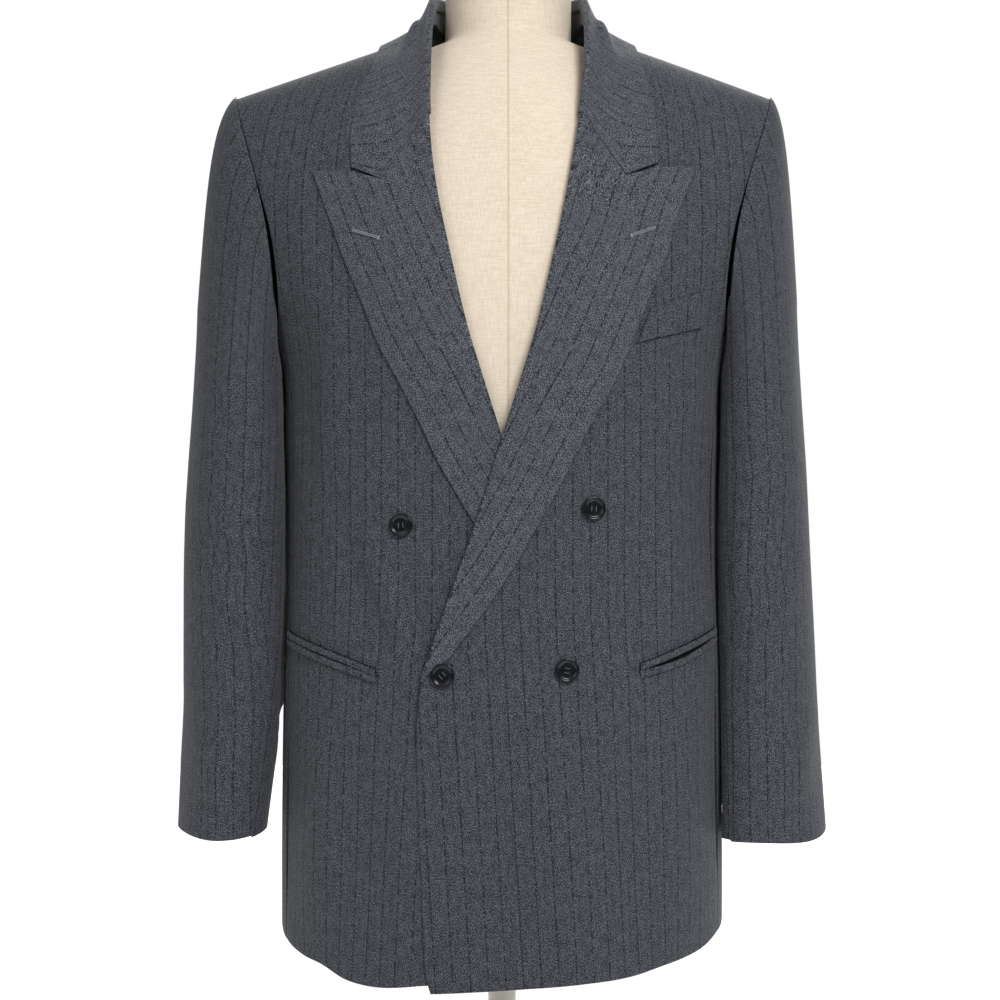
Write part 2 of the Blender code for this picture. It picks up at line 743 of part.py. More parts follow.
# ---------------------------------------------------------------- dress form and stand
def form_columns(level):
    """Across the form: even steps to the neck's side, then closer to the form's own side."""
    if level > ARMPIT_Z:
        side = smooth(ARMHOLE, level, 1) - 0.004
    else:
        side = smooth(BODY_RINGS, level, 1) - FORM_INSET
    inner = [NECK_X * s for s in (0.0, 0.40, 0.75, 1.0)]
    outer = [NECK_X + (side - NECK_X) * s for s in (0.25, 0.50, 0.72, 0.88, 0.965, 1.0)]
    right = inner + outer
    return [-x for x in right[:0:-1]] + right, side


def form_point(x, side, level, facing):
    """The body surface drawn in, and closed where an arm would be."""
    inset = FORM_SEAT + (FORM_INSET - FORM_SEAT) * (1 - ease(level, 0.845, SHOULDER_Z))
    inset += NECK_INSET * ease(level, 0.82, 0.87) * (1 - ease(abs(x), 0.070, 0.110))
    base = on_body(x, level, facing)
    closing = max(0.0, 1 - (abs(x) / side) ** 9) ** (1 / 9)
    reach = max(0.0, abs(base[1] - RIDGE_Y) - inset) * closing
    drop = inset * ease(level, 0.80, 0.86)
    return Vector((x, RIDGE_Y + facing * reach, base[2] - drop))


def form_mesh():
    levels = [FORM_BOTTOM_Z + (ARMPIT_Z - FORM_BOTTOM_Z) * i / 12 for i in range(13)]
    levels += [armhole_level(r) for r in range(2, UPPER_ROWS + 1)]
    shape = bmesh.new()
    for facing in (-1, 1):
        grid = []
        for level in levels:
            columns, side = form_columns(level)
            grid.append([form_point(x, side, level, facing) for x in columns])
        width, front, back = FORM_NECK
        reach = front if facing < 0 else back
        top_row = grid[-1]
        for c, x in enumerate(columns):
            if abs(x) <= NECK_X + 1e-6:
                u = x / NECK_X
                root_y = RIDGE_Y + facing * reach * math.sqrt(max(0, 1 - u * u))
                top_row[c] = Vector((width * u, root_y, top_row[c][2]))
        for step in range(1, 5):
            t = step / 4
            row = []
            for x, below in zip(columns, top_row):
                if abs(x) > NECK_X + 1e-6:
                    row.append(None)
                    continue
                u = x / NECK_X
                neck = Vector((width * u, RIDGE_Y + facing * reach * math.sqrt(max(0, 1 - u * u)), 0))
                z = below[2] + (FORM_NECK_TOP_Z - below[2]) * t
                mix = ease(t, 0.0, 0.5)
                row.append(Vector((below[0] + (neck[0] - below[0]) * mix,
                                   below[1] + (neck[1] - below[1]) * mix, z)))
            grid.append(row)
        verts = [[shape.verts.new(lean(p)) if p is not None else None for p in row] for row in grid]
        for low, high in zip(verts, verts[1:]):
            for c in range(len(low) - 1):
                quad = (low[c], low[c + 1], high[c + 1], high[c])
                if None in quad:
                    continue
                shape.faces.new(quad if facing < 0 else quad[::-1])
    bmesh.ops.remove_doubles(shape, verts=shape.verts, dist=0.0001)
    bmesh.ops.dissolve_degenerate(shape, edges=shape.edges, dist=0.0001)
    open_edges = [e for e in shape.edges if e.is_boundary]
    bmesh.ops.holes_fill(shape, edges=open_edges, sides=0)
    bmesh.ops.recalc_face_normals(shape, faces=shape.faces)
    mesh = bpy.data.meshes.new("form_torso")
    shape.to_mesh(mesh)
    shape.free()
    mesh.shade_smooth()
    mesh.set_sharp_from_angle(angle=math.radians(50))
    return mesh


def turned(name, profile, finish, collection, steps):
    """A turned piece: its profile runs from the top down the outside."""
    mesh = bpy.data.meshes.new(name)
    mesh.from_pydata([(x, 0, z) for x, z in profile], [(i, i + 1) for i in range(len(profile) - 1)], [])
    made = add_object(name, mesh, finish, collection)
    turn = made.modifiers.new("turn", "SCREW")
    turn.axis = "Z"
    turn.steps = steps
    turn.render_steps = steps
    turn.use_merge_vertices = True
    turn.merge_threshold = 0.00001
    return made


def build():
    for old in list(bpy.data.objects):
        bpy.data.objects.remove(old)
    blazer = bpy.data.collections.new("double_breasted_blazer")
    cutters = bpy.data.collections.new("cutters")
    bpy.context.scene.collection.children.link(blazer)
    bpy.context.scene.collection.children.link(cutters)

    for name, side in (("left", 1), ("right", -1)):
        flip = side < 0
        cloth("front_" + name, front_grid(side), blazer, flip=flip)
        cloth("back_" + name, back_grid(side), blazer, flip=not flip)
        cloth("side_panel_" + name, side_grid(side), blazer, flip=flip)
        cloth("lapel_" + name, lapel_grid(side), blazer, flip=flip)
        sleeve_pieces(side, name, blazer)
        mouth = POCKET_MOUTH[name]
        upper, lower = JET_GAP / 2, -JET_HEIGHT - JET_GAP / 2
        cloth("pocket_jet_upper_" + name, jet_grid(mouth, upper, side), blazer, flip=flip)
        cloth("pocket_jet_lower_" + name, jet_grid(mouth, lower, side), blazer, flip=flip)
    cloth("collar", both_halves(collar_half()), blazer)
    cloth("collar_stand", both_halves(stand_half()), blazer, finish="undercollar", flip=True)
    cloth("breast_welt", band_grid(WELT_LOWER, WELT_UPPER, 1), blazer)
    for name, x, z, layer in BUTTONS:
        add_button(name, x, z, layer, blazer, cutters)

    add_object("form_torso", form_mesh(), "linen", blazer)
    pole_top = FORM_BOTTOM_Z - SEAM_GAP
    turned("stand_pole", [(0, pole_top), (POLE_RADIUS, pole_top), (POLE_RADIUS, BASE_THICK + SEAM_GAP),
                          (0, BASE_THICK + SEAM_GAP)], "stand", blazer, 24)
    edge = 0.004
    turned("stand_base", [(0, BASE_THICK), (BASE_RADIUS - edge, BASE_THICK),
                          (BASE_RADIUS, BASE_THICK - edge), (BASE_RADIUS, 0), (0, 0)],
           "stand", blazer, 48)


build()
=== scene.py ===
# %% [markdown]
# # A double breasted blazer on a dress form
# The cloth is a grey worsted wool with a fine dark stripe. Every cut piece of the blazer is laid on one
# body surface, the same that the solid model uses, so the pieces meet at their seams and nothing needs
# fitting by eye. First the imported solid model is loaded, as the frame that everything is placed in.

# %% Load the frame
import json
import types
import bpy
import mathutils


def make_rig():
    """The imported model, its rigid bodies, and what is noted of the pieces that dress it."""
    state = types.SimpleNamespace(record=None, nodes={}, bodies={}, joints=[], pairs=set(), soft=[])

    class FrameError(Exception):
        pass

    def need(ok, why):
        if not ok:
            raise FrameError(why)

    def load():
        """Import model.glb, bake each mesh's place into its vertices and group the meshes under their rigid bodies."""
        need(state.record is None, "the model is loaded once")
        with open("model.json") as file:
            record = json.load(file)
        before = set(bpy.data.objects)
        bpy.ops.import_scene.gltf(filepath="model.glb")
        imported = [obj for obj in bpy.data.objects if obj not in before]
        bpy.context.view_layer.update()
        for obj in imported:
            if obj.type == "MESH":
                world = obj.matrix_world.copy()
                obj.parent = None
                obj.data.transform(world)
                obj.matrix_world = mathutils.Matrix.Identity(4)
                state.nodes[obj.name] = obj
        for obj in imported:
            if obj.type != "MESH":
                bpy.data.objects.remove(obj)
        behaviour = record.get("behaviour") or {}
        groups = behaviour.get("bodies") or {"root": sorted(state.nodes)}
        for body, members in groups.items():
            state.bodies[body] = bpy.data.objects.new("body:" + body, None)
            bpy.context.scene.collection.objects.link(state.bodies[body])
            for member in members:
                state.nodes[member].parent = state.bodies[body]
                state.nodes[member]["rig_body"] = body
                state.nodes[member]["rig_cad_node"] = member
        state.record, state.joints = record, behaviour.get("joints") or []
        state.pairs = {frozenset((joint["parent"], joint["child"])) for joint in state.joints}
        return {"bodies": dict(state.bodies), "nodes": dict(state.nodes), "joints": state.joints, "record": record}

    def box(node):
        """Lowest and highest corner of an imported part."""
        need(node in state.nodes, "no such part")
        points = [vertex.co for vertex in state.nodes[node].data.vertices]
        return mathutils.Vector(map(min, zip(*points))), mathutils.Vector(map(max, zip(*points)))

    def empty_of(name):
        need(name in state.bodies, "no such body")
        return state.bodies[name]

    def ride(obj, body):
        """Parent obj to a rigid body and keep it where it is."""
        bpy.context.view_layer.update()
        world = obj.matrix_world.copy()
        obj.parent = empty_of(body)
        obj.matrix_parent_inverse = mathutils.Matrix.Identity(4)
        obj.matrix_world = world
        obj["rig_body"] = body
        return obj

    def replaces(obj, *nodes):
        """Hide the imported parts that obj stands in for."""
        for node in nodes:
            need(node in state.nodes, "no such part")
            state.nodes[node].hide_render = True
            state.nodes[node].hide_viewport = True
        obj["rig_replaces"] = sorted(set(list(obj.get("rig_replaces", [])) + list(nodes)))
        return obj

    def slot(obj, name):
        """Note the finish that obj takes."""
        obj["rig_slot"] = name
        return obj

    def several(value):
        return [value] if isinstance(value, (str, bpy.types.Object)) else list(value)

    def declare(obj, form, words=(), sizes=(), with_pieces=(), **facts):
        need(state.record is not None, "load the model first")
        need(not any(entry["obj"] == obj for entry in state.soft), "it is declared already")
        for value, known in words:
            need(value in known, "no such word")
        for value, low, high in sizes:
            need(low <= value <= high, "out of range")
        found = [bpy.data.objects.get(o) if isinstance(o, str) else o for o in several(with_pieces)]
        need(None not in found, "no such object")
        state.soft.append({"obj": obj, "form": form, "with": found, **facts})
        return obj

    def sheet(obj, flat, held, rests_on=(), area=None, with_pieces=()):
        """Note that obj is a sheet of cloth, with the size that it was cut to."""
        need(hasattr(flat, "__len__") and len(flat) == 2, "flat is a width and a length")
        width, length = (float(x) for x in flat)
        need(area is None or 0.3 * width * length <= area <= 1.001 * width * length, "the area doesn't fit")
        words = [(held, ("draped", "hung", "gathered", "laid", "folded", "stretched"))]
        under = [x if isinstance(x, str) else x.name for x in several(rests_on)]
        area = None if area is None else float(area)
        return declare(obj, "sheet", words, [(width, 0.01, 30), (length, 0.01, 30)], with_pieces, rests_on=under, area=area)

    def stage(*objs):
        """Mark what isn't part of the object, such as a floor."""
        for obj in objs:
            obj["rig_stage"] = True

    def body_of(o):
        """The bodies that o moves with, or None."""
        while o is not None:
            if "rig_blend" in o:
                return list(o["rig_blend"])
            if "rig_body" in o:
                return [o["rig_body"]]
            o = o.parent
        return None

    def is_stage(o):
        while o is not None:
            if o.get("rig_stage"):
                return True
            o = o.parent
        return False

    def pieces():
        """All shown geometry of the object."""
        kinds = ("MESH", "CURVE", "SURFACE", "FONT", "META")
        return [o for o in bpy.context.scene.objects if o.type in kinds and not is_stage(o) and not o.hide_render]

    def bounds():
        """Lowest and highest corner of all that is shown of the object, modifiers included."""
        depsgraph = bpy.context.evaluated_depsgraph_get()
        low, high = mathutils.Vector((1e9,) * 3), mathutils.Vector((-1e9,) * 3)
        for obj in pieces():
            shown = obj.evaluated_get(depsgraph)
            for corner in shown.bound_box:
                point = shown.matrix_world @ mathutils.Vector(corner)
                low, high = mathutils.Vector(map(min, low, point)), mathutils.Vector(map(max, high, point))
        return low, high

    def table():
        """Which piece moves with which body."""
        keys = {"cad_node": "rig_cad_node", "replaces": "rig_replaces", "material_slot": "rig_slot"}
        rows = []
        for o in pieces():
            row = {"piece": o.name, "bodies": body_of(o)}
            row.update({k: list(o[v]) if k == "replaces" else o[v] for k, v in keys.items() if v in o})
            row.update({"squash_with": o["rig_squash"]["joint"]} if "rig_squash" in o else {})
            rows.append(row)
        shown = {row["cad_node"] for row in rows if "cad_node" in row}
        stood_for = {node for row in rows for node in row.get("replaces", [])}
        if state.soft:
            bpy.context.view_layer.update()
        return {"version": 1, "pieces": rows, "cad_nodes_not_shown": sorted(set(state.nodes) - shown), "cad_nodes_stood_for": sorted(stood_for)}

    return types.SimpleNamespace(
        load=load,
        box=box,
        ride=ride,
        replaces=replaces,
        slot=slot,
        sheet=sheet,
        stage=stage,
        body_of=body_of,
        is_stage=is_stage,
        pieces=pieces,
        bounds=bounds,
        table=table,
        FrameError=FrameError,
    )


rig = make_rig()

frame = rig.load()

import json
import math

import bpy
import bmesh
import numpy as np
from mathutils import Matrix, Vector

cad_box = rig.bounds()
print("solid model:", len(frame["nodes"]), "pieces, box", [[round(n, 3) for n in c] for c in cad_box])

# %% [markdown]
# ## The sizes
# A pattern cutter works from a table of measures. These tables give the body at each level, the armhole,
# the front edge that turns into the roll line of the lapel, the hem, the outer edge of the lapels, the
# collar and the sleeves. All are in metres, and the left side of the wearer is at +X.

# %% Cloth and body tables
MM = 0.001
CLOTH = 0.0018            # wall of cloth with its lining or facing
LAYER = 0.001            # room between two cloths that lie on each other
SEAM_GAP = 0.0003
ARMPIT_Z = 0.651
SHOULDER_Z = 0.883
SHOULDER_X = 0.24
SHOULDER_SLOPE = 0.345
NECK_X = 0.072
RIDGE_Y = 0.004
CROWN_POWER = 2.2
NAPE_DEPTH = 0.058
BACK_HEM_Z = 0.153
NECK_LEAN = 0.0058
LEAN_REACH = 0.27
LEAN_BETWEEN = (0.78, 0.95)
OVERLAP_LIFT = 2 * (LAYER + CLOTH)
UPPER_ROWS = 10
SEAM_ROW = 2

# level, half_width, front, back, squareness
BODY_RINGS = (
    (0.11, 0.1955, 0.142, 0.126, 2.6), (0.25, 0.1955, 0.14, 0.126, 2.6),
    (0.37, 0.194, 0.134, 0.117, 2.6), (0.48, 0.1915, 0.127, 0.108, 2.5),
    (0.57, 0.193, 0.127, 0.112, 2.45), (0.651, 0.199, 0.13, 0.12, 2.4),
    (0.674, 0.207, 0.13, 0.122, 2.4), (0.709, 0.2275, 0.129, 0.124, 2.4),
    (0.767, 0.256, 0.126, 0.124, 2.4), (0.825, 0.28, 0.122, 0.12, 2.4),
    (0.86, 0.305, 0.118, 0.116, 2.4), (0.883, 0.318, 0.115, 0.113, 2.4),
)
# level, across
ARMHOLE = (
    (0.651, 0.199), (0.662, 0.1965), (0.69, 0.194), (0.72, 0.1955), (0.75, 0.2),
    (0.78, 0.2075), (0.82, 0.22), (0.86, 0.233), (0.883, 0.24),
)
# height, across
FRONT_EDGE = (
    (0.12, -0.057), (0.13, -0.06), (0.188, -0.0645), (0.246, -0.067), (0.3, -0.069),
    (0.345, -0.069), (0.37, -0.066), (0.404, -0.055), (0.434, -0.045), (0.508, -0.019),
    (0.571, 0.0000), (0.622, 0.016), (0.664, 0.029), (0.72, 0.0425), (0.796, 0.058),
    (0.828, 0.0625), (0.879, 0.067), (0.93, 0.07), (0.96, 0.0715),
)
# across, left, right
HEM = (
    (-0.06, 0.123, 0.131), (0.02, 0.128, 0.131), (0.06, 0.1305, 0.129),
    (0.11, 0.1345, 0.1247), (0.13, 0.138, 0.1275), (0.15, 0.1405, 0.1355),
    (0.17, 0.144, 0.1385), (0.188, 0.15, 0.144), (0.2, 0.153, 0.153),
)
# height, left, right
LAPEL_EDGE = (
    (0.396, -0.042, -0.042), (0.433, -0.015, -0.019), (0.469, 0.009, 0.003),
    (0.505, 0.0295, 0.0223), (0.526, 0.041, 0.0347), (0.559, 0.0575, 0.0536),
    (0.591, 0.073, 0.0685), (0.62, 0.0895, 0.083), (0.655, 0.105, 0.102),
    (0.692, 0.1205, 0.117), (0.729, 0.1365, 0.133), (0.769, 0.1485, 0.1483),
    (0.789, 0.1575, 0.156), (0.806, 0.164, 0.163),
)
# station, fold_x, fold_y, fold_z, edge_x, edge_y, edge_z, stand
COLLAR_STATIONS = (
    (0, 0.0675, -0.093, 0.87, 0.13, -0.078, 0.838, 0.000),
    (1, 0.0695, -0.074, 0.905, 0.1245, -0.066, 0.868, 0.000),
    (2, 0.0705, -0.045, 0.94, 0.1185, -0.047, 0.899, 0.004),
    (3, 0.07, -0.008, 0.972, 0.114, -0.01, 0.925, 0.02),
    (4, 0.066, 0.02, 0.98, 0.112, 0.032, 0.929, 0.028),
    (5, 0.054, 0.046, 0.984, 0.096, 0.07, 0.926, 0.034),
    (6, 0.03, 0.064, 0.986, 0.056, 0.095, 0.9235, 0.036),
    (7, 0.0000, 0.069, 0.9865, 0.0000, 0.103, 0.923, 0.036),
)
# height, inner_right, inner_left, outer_right, outer_left, front, back
SLEEVE_RINGS = (
    (0.63, 0.193, 0.193, 0.28, 0.271, 0.08, 0.07),
    (0.54, 0.192, 0.191, 0.2848, 0.2755, 0.08, 0.066),
    (0.47, 0.192, 0.19, 0.2865, 0.278, 0.08, 0.059),
    (0.4, 0.192, 0.19, 0.286, 0.2806, 0.08, 0.05),
    (0.34, 0.196, 0.19, 0.2855, 0.2825, 0.081, 0.042),
    (0.29, 0.202, 0.189, 0.287, 0.285, 0.083, 0.035),
    (0.229, 0.209, 0.187, 0.2885, 0.288, 0.086, 0.029),
)
print("tables:", len(BODY_RINGS), "body rings,", len(SLEEVE_RINGS), "sleeve rings")

# %% [markdown]
# ## The body surface
# A table gives only a few rings, so a smooth curve is drawn through each column. The chest is a squared
# oval, and above the armpit it closes towards the shoulder seam. All the functions take whole arrays of
# places at once, because a fine mesh has tens of thousands of points.

# %% Curves and the body surface
def curve(table, at, column):
    """Read one column of a table at many places, on a smooth curve through its rows."""
    rows = np.array(table, dtype=float)
    knots, values = rows[:, 0], rows[:, column]
    slopes = np.gradient(values, knots)
    at = np.clip(at, knots[0], knots[-1])
    i = np.clip(np.searchsorted(knots, at, side="right") - 1, 0, len(knots) - 2)
    span = knots[i + 1] - knots[i]
    t = (at - knots[i]) / span
    start = (1 + 2 * t) * (1 - t) ** 2 * values[i] + t * (1 - t) ** 2 * span * slopes[i]
    return start + t * t * (3 - 2 * t) * values[i + 1] + t * t * (t - 1) * span * slopes[i + 1]


def ease(value, start, end):
    """Go smoothly from 0 at start to 1 at end."""
    t = np.clip((value - start) / (end - start), 0.0, 1.0)
    return t * t * (3 - 2 * t)


def unit(v):
    return v / np.maximum(np.linalg.norm(v, axis=-1, keepdims=True), 1e-12)


def shoulder_line(x):
    return SHOULDER_Z + SHOULDER_SLOPE * (SHOULDER_X - np.maximum(np.abs(x), NECK_X))


def level_of(x, z):
    above = ARMPIT_Z + (z - ARMPIT_Z) * (SHOULDER_Z - ARMPIT_Z) / (shoulder_line(x) - ARMPIT_Z)
    return np.where(z <= ARMPIT_Z, z, above)


def height_of(x, level):
    above = ARMPIT_Z + (level - ARMPIT_Z) * (shoulder_line(x) - ARMPIT_Z) / (SHOULDER_Z - ARMPIT_Z)
    return np.where(level <= ARMPIT_Z, level, above)


def on_body(x, level, facing):
    """Points on the body: facing is -1 on the front and 1 on the back."""
    x, level, facing = np.broadcast_arrays(x, level, facing)
    half = curve(BODY_RINGS, level, 1)
    depth = np.where(facing < 0, curve(BODY_RINGS, level, 2), curve(BODY_RINGS, level, 3))
    power = curve(BODY_RINGS, level, 4)
    round_side = np.maximum(0.0, 1 - (np.abs(x) / half) ** power) ** (1 / power)
    t = np.clip((level - ARMPIT_Z) / (SHOULDER_Z - ARMPIT_Z), 0.0, 1.0)
    top = (1 - t ** CROWN_POWER) ** (1 / CROWN_POWER)
    neck = NAPE_DEPTH * np.sqrt(np.maximum(0.0, 1 - (x / NECK_X) ** 2)) * (1 - top)
    y = RIDGE_Y + facing * (SEAM_GAP / 2 + depth * round_side * top + neck)
    return np.stack([x, y, height_of(x, level)], axis=-1)


def out_from_body(x, level, facing, distance):
    """Points lifted off the body along its outward direction."""
    x, level, facing, distance = np.broadcast_arrays(x, level, facing, distance)
    step = 0.0015
    side = np.where(x > 0, -1.0, 1.0)
    here = on_body(x, level, facing)
    across = (on_body(x + side * step, level, facing) - here) * side[..., None]
    up = on_body(x, np.minimum(level, SHOULDER_Z - 0.0002), facing) - on_body(x, level - step, facing)
    normal = unit(np.cross(across, up) * -facing[..., None])
    return here + normal * distance[..., None]


def girth(x, level, facing):
    """Length along the cloth from the middle of the body out to x."""
    share = np.linspace(0.0, 1.0, 25)
    points = on_body(np.asarray(x)[..., None] * share, np.asarray(level)[..., None], facing)
    steps = np.linalg.norm(np.diff(points, axis=-2), axis=-1)
    return np.sign(x) * steps.sum(axis=-1)


def lean(points):
    """The neck leans a little to the wearer's left."""
    x = points[..., 0]
    amount = NECK_LEAN * ease(points[..., 2], *LEAN_BETWEEN) * np.maximum(0, 1 - np.abs(x / LEAN_REACH) ** 3)
    return points + np.stack([amount, 0 * x, 0 * x], axis=-1)


def armhole_level(row):
    return ARMPIT_Z + (SHOULDER_Z - ARMPIT_Z) * (1 - np.cos(np.pi * row / UPPER_ROWS)) / 2


def side_angle(level, x):
    """Turn a distance across into the angle round the body."""
    share = np.minimum(1.0, np.abs(x) / curve(BODY_RINGS, level, 1))
    return np.arcsin(share ** (curve(BODY_RINGS, level, 4) / 2))


SEAM_LEVEL = armhole_level(SEAM_ROW)
SEAM_ANGLE = side_angle(SEAM_LEVEL, curve(ARMHOLE, SEAM_LEVEL, 1))


def seam_x(level):
    """Where the seams of the side panel lie below the armhole."""
    return curve(BODY_RINGS, level, 1) * math.sin(SEAM_ANGLE) ** (2 / curve(BODY_RINGS, level, 4))


def hem_height(x, side):
    return curve(HEM, x, 1 if side > 0 else 2)


SIDE_SEAM_HEM = {side: hem_height(seam_x(BODY_RINGS[0][0]), side) for side in (1, -1)}
print("chest", round(2 * float(girth(0.199, 0.66, -1) + girth(0.199, 0.66, 1)), 3), "m round")

# %% [markdown]
# ## Creases
# Wool hangs almost smooth, yet it is never flat: it pulls softly from the fastened button, gathers at the
# waist and dips inside the sleeve head. Each crease is a soft ridge or trough along a line, listed one by one.
# The same list is used by every piece that lies on that panel, so a lapel, a welt or a button moves
# with the cloth beneath it.

# %% Creases on the panels
# across and height where it starts, across and height where it ends, width, how high
CREASES = {
    ("front", -1): (
        (0.118, 0.5, 0.064, 0.372, 0.011, 0.0034), (0.08, 0.48, 0.056, 0.372, 0.01, -0.0022),
        (0.145, 0.54, 0.101, 0.4, 0.015, -0.0016), (0.156, 0.4, 0.075, 0.35, 0.012, -0.0012),
        (0.142, 0.7, 0.148, 0.54, 0.017, 0.0018), (0.168, 0.69, 0.164, 0.52, 0.013, -0.0019),
        (0.198, 0.8, 0.182, 0.66, 0.014, -0.0021), (0.15, 0.33, 0.153, 0.15, 0.019, 0.0021),
        (0.118, 0.32, 0.114, 0.14, 0.017, -0.0015), (0.07, 0.33, 0.078, 0.12, 0.015, 0.0014),
        (0.178, 0.33, 0.18, 0.16, 0.012, -0.0012), (0.115, 0.88, 0.175, 0.82, 0.016, 0.001),
    ),
    ("front", 1): (
        (-0.03, 0.392, 0.064, 0.452, 0.013, 0.002), (-0.035, 0.372, 0.06, 0.352, 0.015, 0.0014),
        (-0.01, 0.41, 0.03, 0.52, 0.013, -0.0014), (0.14, 0.53, 0.137, 0.4, 0.013, 0.002),
        (0.165, 0.6, 0.169, 0.45, 0.015, -0.002), (0.112, 0.52, 0.108, 0.4, 0.015, -0.0014),
        (0.154, 0.66, 0.16, 0.56, 0.014, 0.0015), (0.197, 0.8, 0.183, 0.66, 0.015, -0.0021),
        (0.04, 0.34, 0.052, 0.13, 0.021, 0.0018), (-0.005, 0.35, 0.0000, 0.13, 0.018, -0.0012),
        (0.095, 0.34, 0.108, 0.14, 0.019, -0.0016), (0.14, 0.36, 0.15, 0.15, 0.017, 0.0018),
        (0.124, 0.87, 0.18, 0.815, 0.017, 0.001), (0.175, 0.38, 0.182, 0.2, 0.012, -0.0014),
    ),
    ("back", -1): (
        (0.185, 0.8, 0.15, 0.56, 0.016, 0.003), (0.15, 0.79, 0.125, 0.56, 0.015, -0.002),
        (0.09, 0.5, 0.13, 0.3, 0.018, 0.0022), (0.03, 0.56, 0.05, 0.33, 0.016, -0.0016),
        (0.04, 0.3, 0.045, 0.155, 0.02, 0.0026), (0.115, 0.29, 0.12, 0.15, 0.02, -0.0018),
        (0.02, 0.905, 0.1, 0.88, 0.008, 0.0016), (0.15, 0.33, 0.16, 0.15, 0.017, 0.0022),
    ),
    ("back", 1): (
        (0.188, 0.79, 0.156, 0.55, 0.017, 0.0028), (0.155, 0.78, 0.132, 0.58, 0.015, -0.002),
        (0.08, 0.47, 0.12, 0.29, 0.017, 0.0024), (0.035, 0.53, 0.042, 0.36, 0.017, -0.0015),
        (0.05, 0.31, 0.056, 0.155, 0.019, 0.0024), (0.105, 0.3, 0.112, 0.15, 0.018, -0.0018),
        (0.015, 0.908, 0.09, 0.885, 0.008, 0.0014), (0.162, 0.32, 0.166, 0.15, 0.016, 0.0022),
    ),
}


def crease(x, z, row):
    """One soft ridge or trough, fading out at both ends of its line."""
    x0, z0, x1, z1, width, height = row
    dx, dz = x1 - x0, z1 - z0
    t = np.clip(((x - x0) * dx + (z - z0) * dz) / (dx * dx + dz * dz), 0.0, 1.0)
    away = np.hypot(x - x0 - t * dx, z - z0 - t * dz)
    return height * np.exp(-(away / width) ** 2) * np.sin(np.pi * t) ** 0.7


CREASE_DEPTH = 1.6        # how much deeper than the table the creases of the body are


def creases(x, z, panel, side):
    total = np.zeros(np.broadcast(x, z).shape)
    for row in CREASES[(panel, side)]:
        total = total + crease(x, z, row)
    return CREASE_DEPTH * total


def overlap_lift(x, z, side):
    """The wearer's left front lies over the right one, and over its lapel."""
    if side < 0:
        return np.zeros(np.broadcast(x, z).shape)
    low = 0.55 + 0.45 * ease(z, 0.3, 0.375)
    return OVERLAP_LIFT * low * (1 - ease(x, 0.08, 0.16)) * (1 - ease(z, 0.6, 0.74))


def lay(x, z, side, lift):
    """Points of the front at a place, lifted off the body with the front's own creases."""
    x, z = np.broadcast_arrays(x, z)
    height = lift + overlap_lift(x, z, side) + creases(x, z, "front", side)
    return out_from_body(x, level_of(x, z), -1, height)


print("creases:", sum(len(rows) for rows in CREASES.values()))

# %% [markdown]
# ## Colours and materials
# A worsted is combed wool spun fine and woven tight, and this one is dyed in the fibre: dark and light
# fibres are mixed, so the grey is flecked. A thin dark stripe runs with the warp every 14 mm, with a
# fainter one halfway. The pattern is drawn on the cloth's own UV map, in metres, so the stripe keeps its
# spacing and turns with each piece as the cutter laid it. One helper adds a node with its settings.

# %% Colour and node helpers
SMOOTH = {"interpolation_type": "SMOOTHSTEP"}
MIX = {"data_type": "RGBA"}
FLAT_NOISE = {"noise_dimensions": "2D"}


def srgb(hex_colour):
    """Turn an sRGB hex colour into the linear one that a shader wants."""
    parts = [int(hex_colour[i:i + 2], 16) / 255 for i in (1, 3, 5)]
    return tuple(c / 12.92 if c <= 0.04045 else ((c + 0.055) / 1.055) ** 2.4 for c in parts) + (1.0,)


def node(tree, kind, settings=None, out=0, **links):
    """Add a node with its settings, set or link its inputs, and give one of its outputs."""
    made = tree.nodes.new("ShaderNode" + kind)
    for name, value in (settings or {}).items():
        setattr(made, name, value)
    for name, value in links.items():
        key = int(name[1:]) if name[0] == "i" and name[1:].isdigit() else name.replace("_", " ")
        if isinstance(value, bpy.types.NodeSocket):
            tree.links.new(value, made.inputs[key])
        else:
            made.inputs[key].default_value = value
    return made.outputs[out]


def new_material(name, roughness, **constants):
    """A material with its plain numbers set on the shader itself."""
    made = bpy.data.materials.new(name)
    made.use_nodes = True
    shader = made.node_tree.nodes["Principled BSDF"]
    shader.inputs["Roughness"].default_value = roughness
    for key, value in constants.items():
        shader.inputs[key.replace("_", " ")].default_value = value
    return made, made.node_tree, shader


def finish(tree, shader, colour, height, strength, relief, rough=None):
    """Link a colour, a relief of that depth in metres and, where it varies, a roughness to the shader."""
    tree.links.new(colour, shader.inputs["Base Color"])
    bump = node(tree, "Bump", Strength=strength, Distance=relief, Height=height)
    tree.links.new(bump, shader.inputs["Normal"])
    if rough is not None:
        tree.links.new(rough, shader.inputs["Roughness"])


# %% Worsted with a dark stripe
STRIPE_GAP = 14.4 * MM
STRIPE_HALF = 0.5 * MM
STRIPE_COLOUR = "#14161b"
STRIPES = ((0.0, 0.88), (0.5, 0.22))     # where in the gap, and how strong
FLECK = 0.7 * MM          # real flecks are about 0.3 mm; drawn as coarse as they need to be to show
FLECK_LONG = 1.7          # the flecks are longer along the warp
CLOUD = (4.2 * MM, 9.5 * MM)             # faint uneven patches in the fleck
RIB = 1.4 * MM            # the steep twill lines, coarser than real ones too
TWILL_ANGLE = math.radians(63)
WORSTED_DARK, WORSTED_MID, WORSTED_LIGHT = "#15181d", "#34373f", "#70737a"


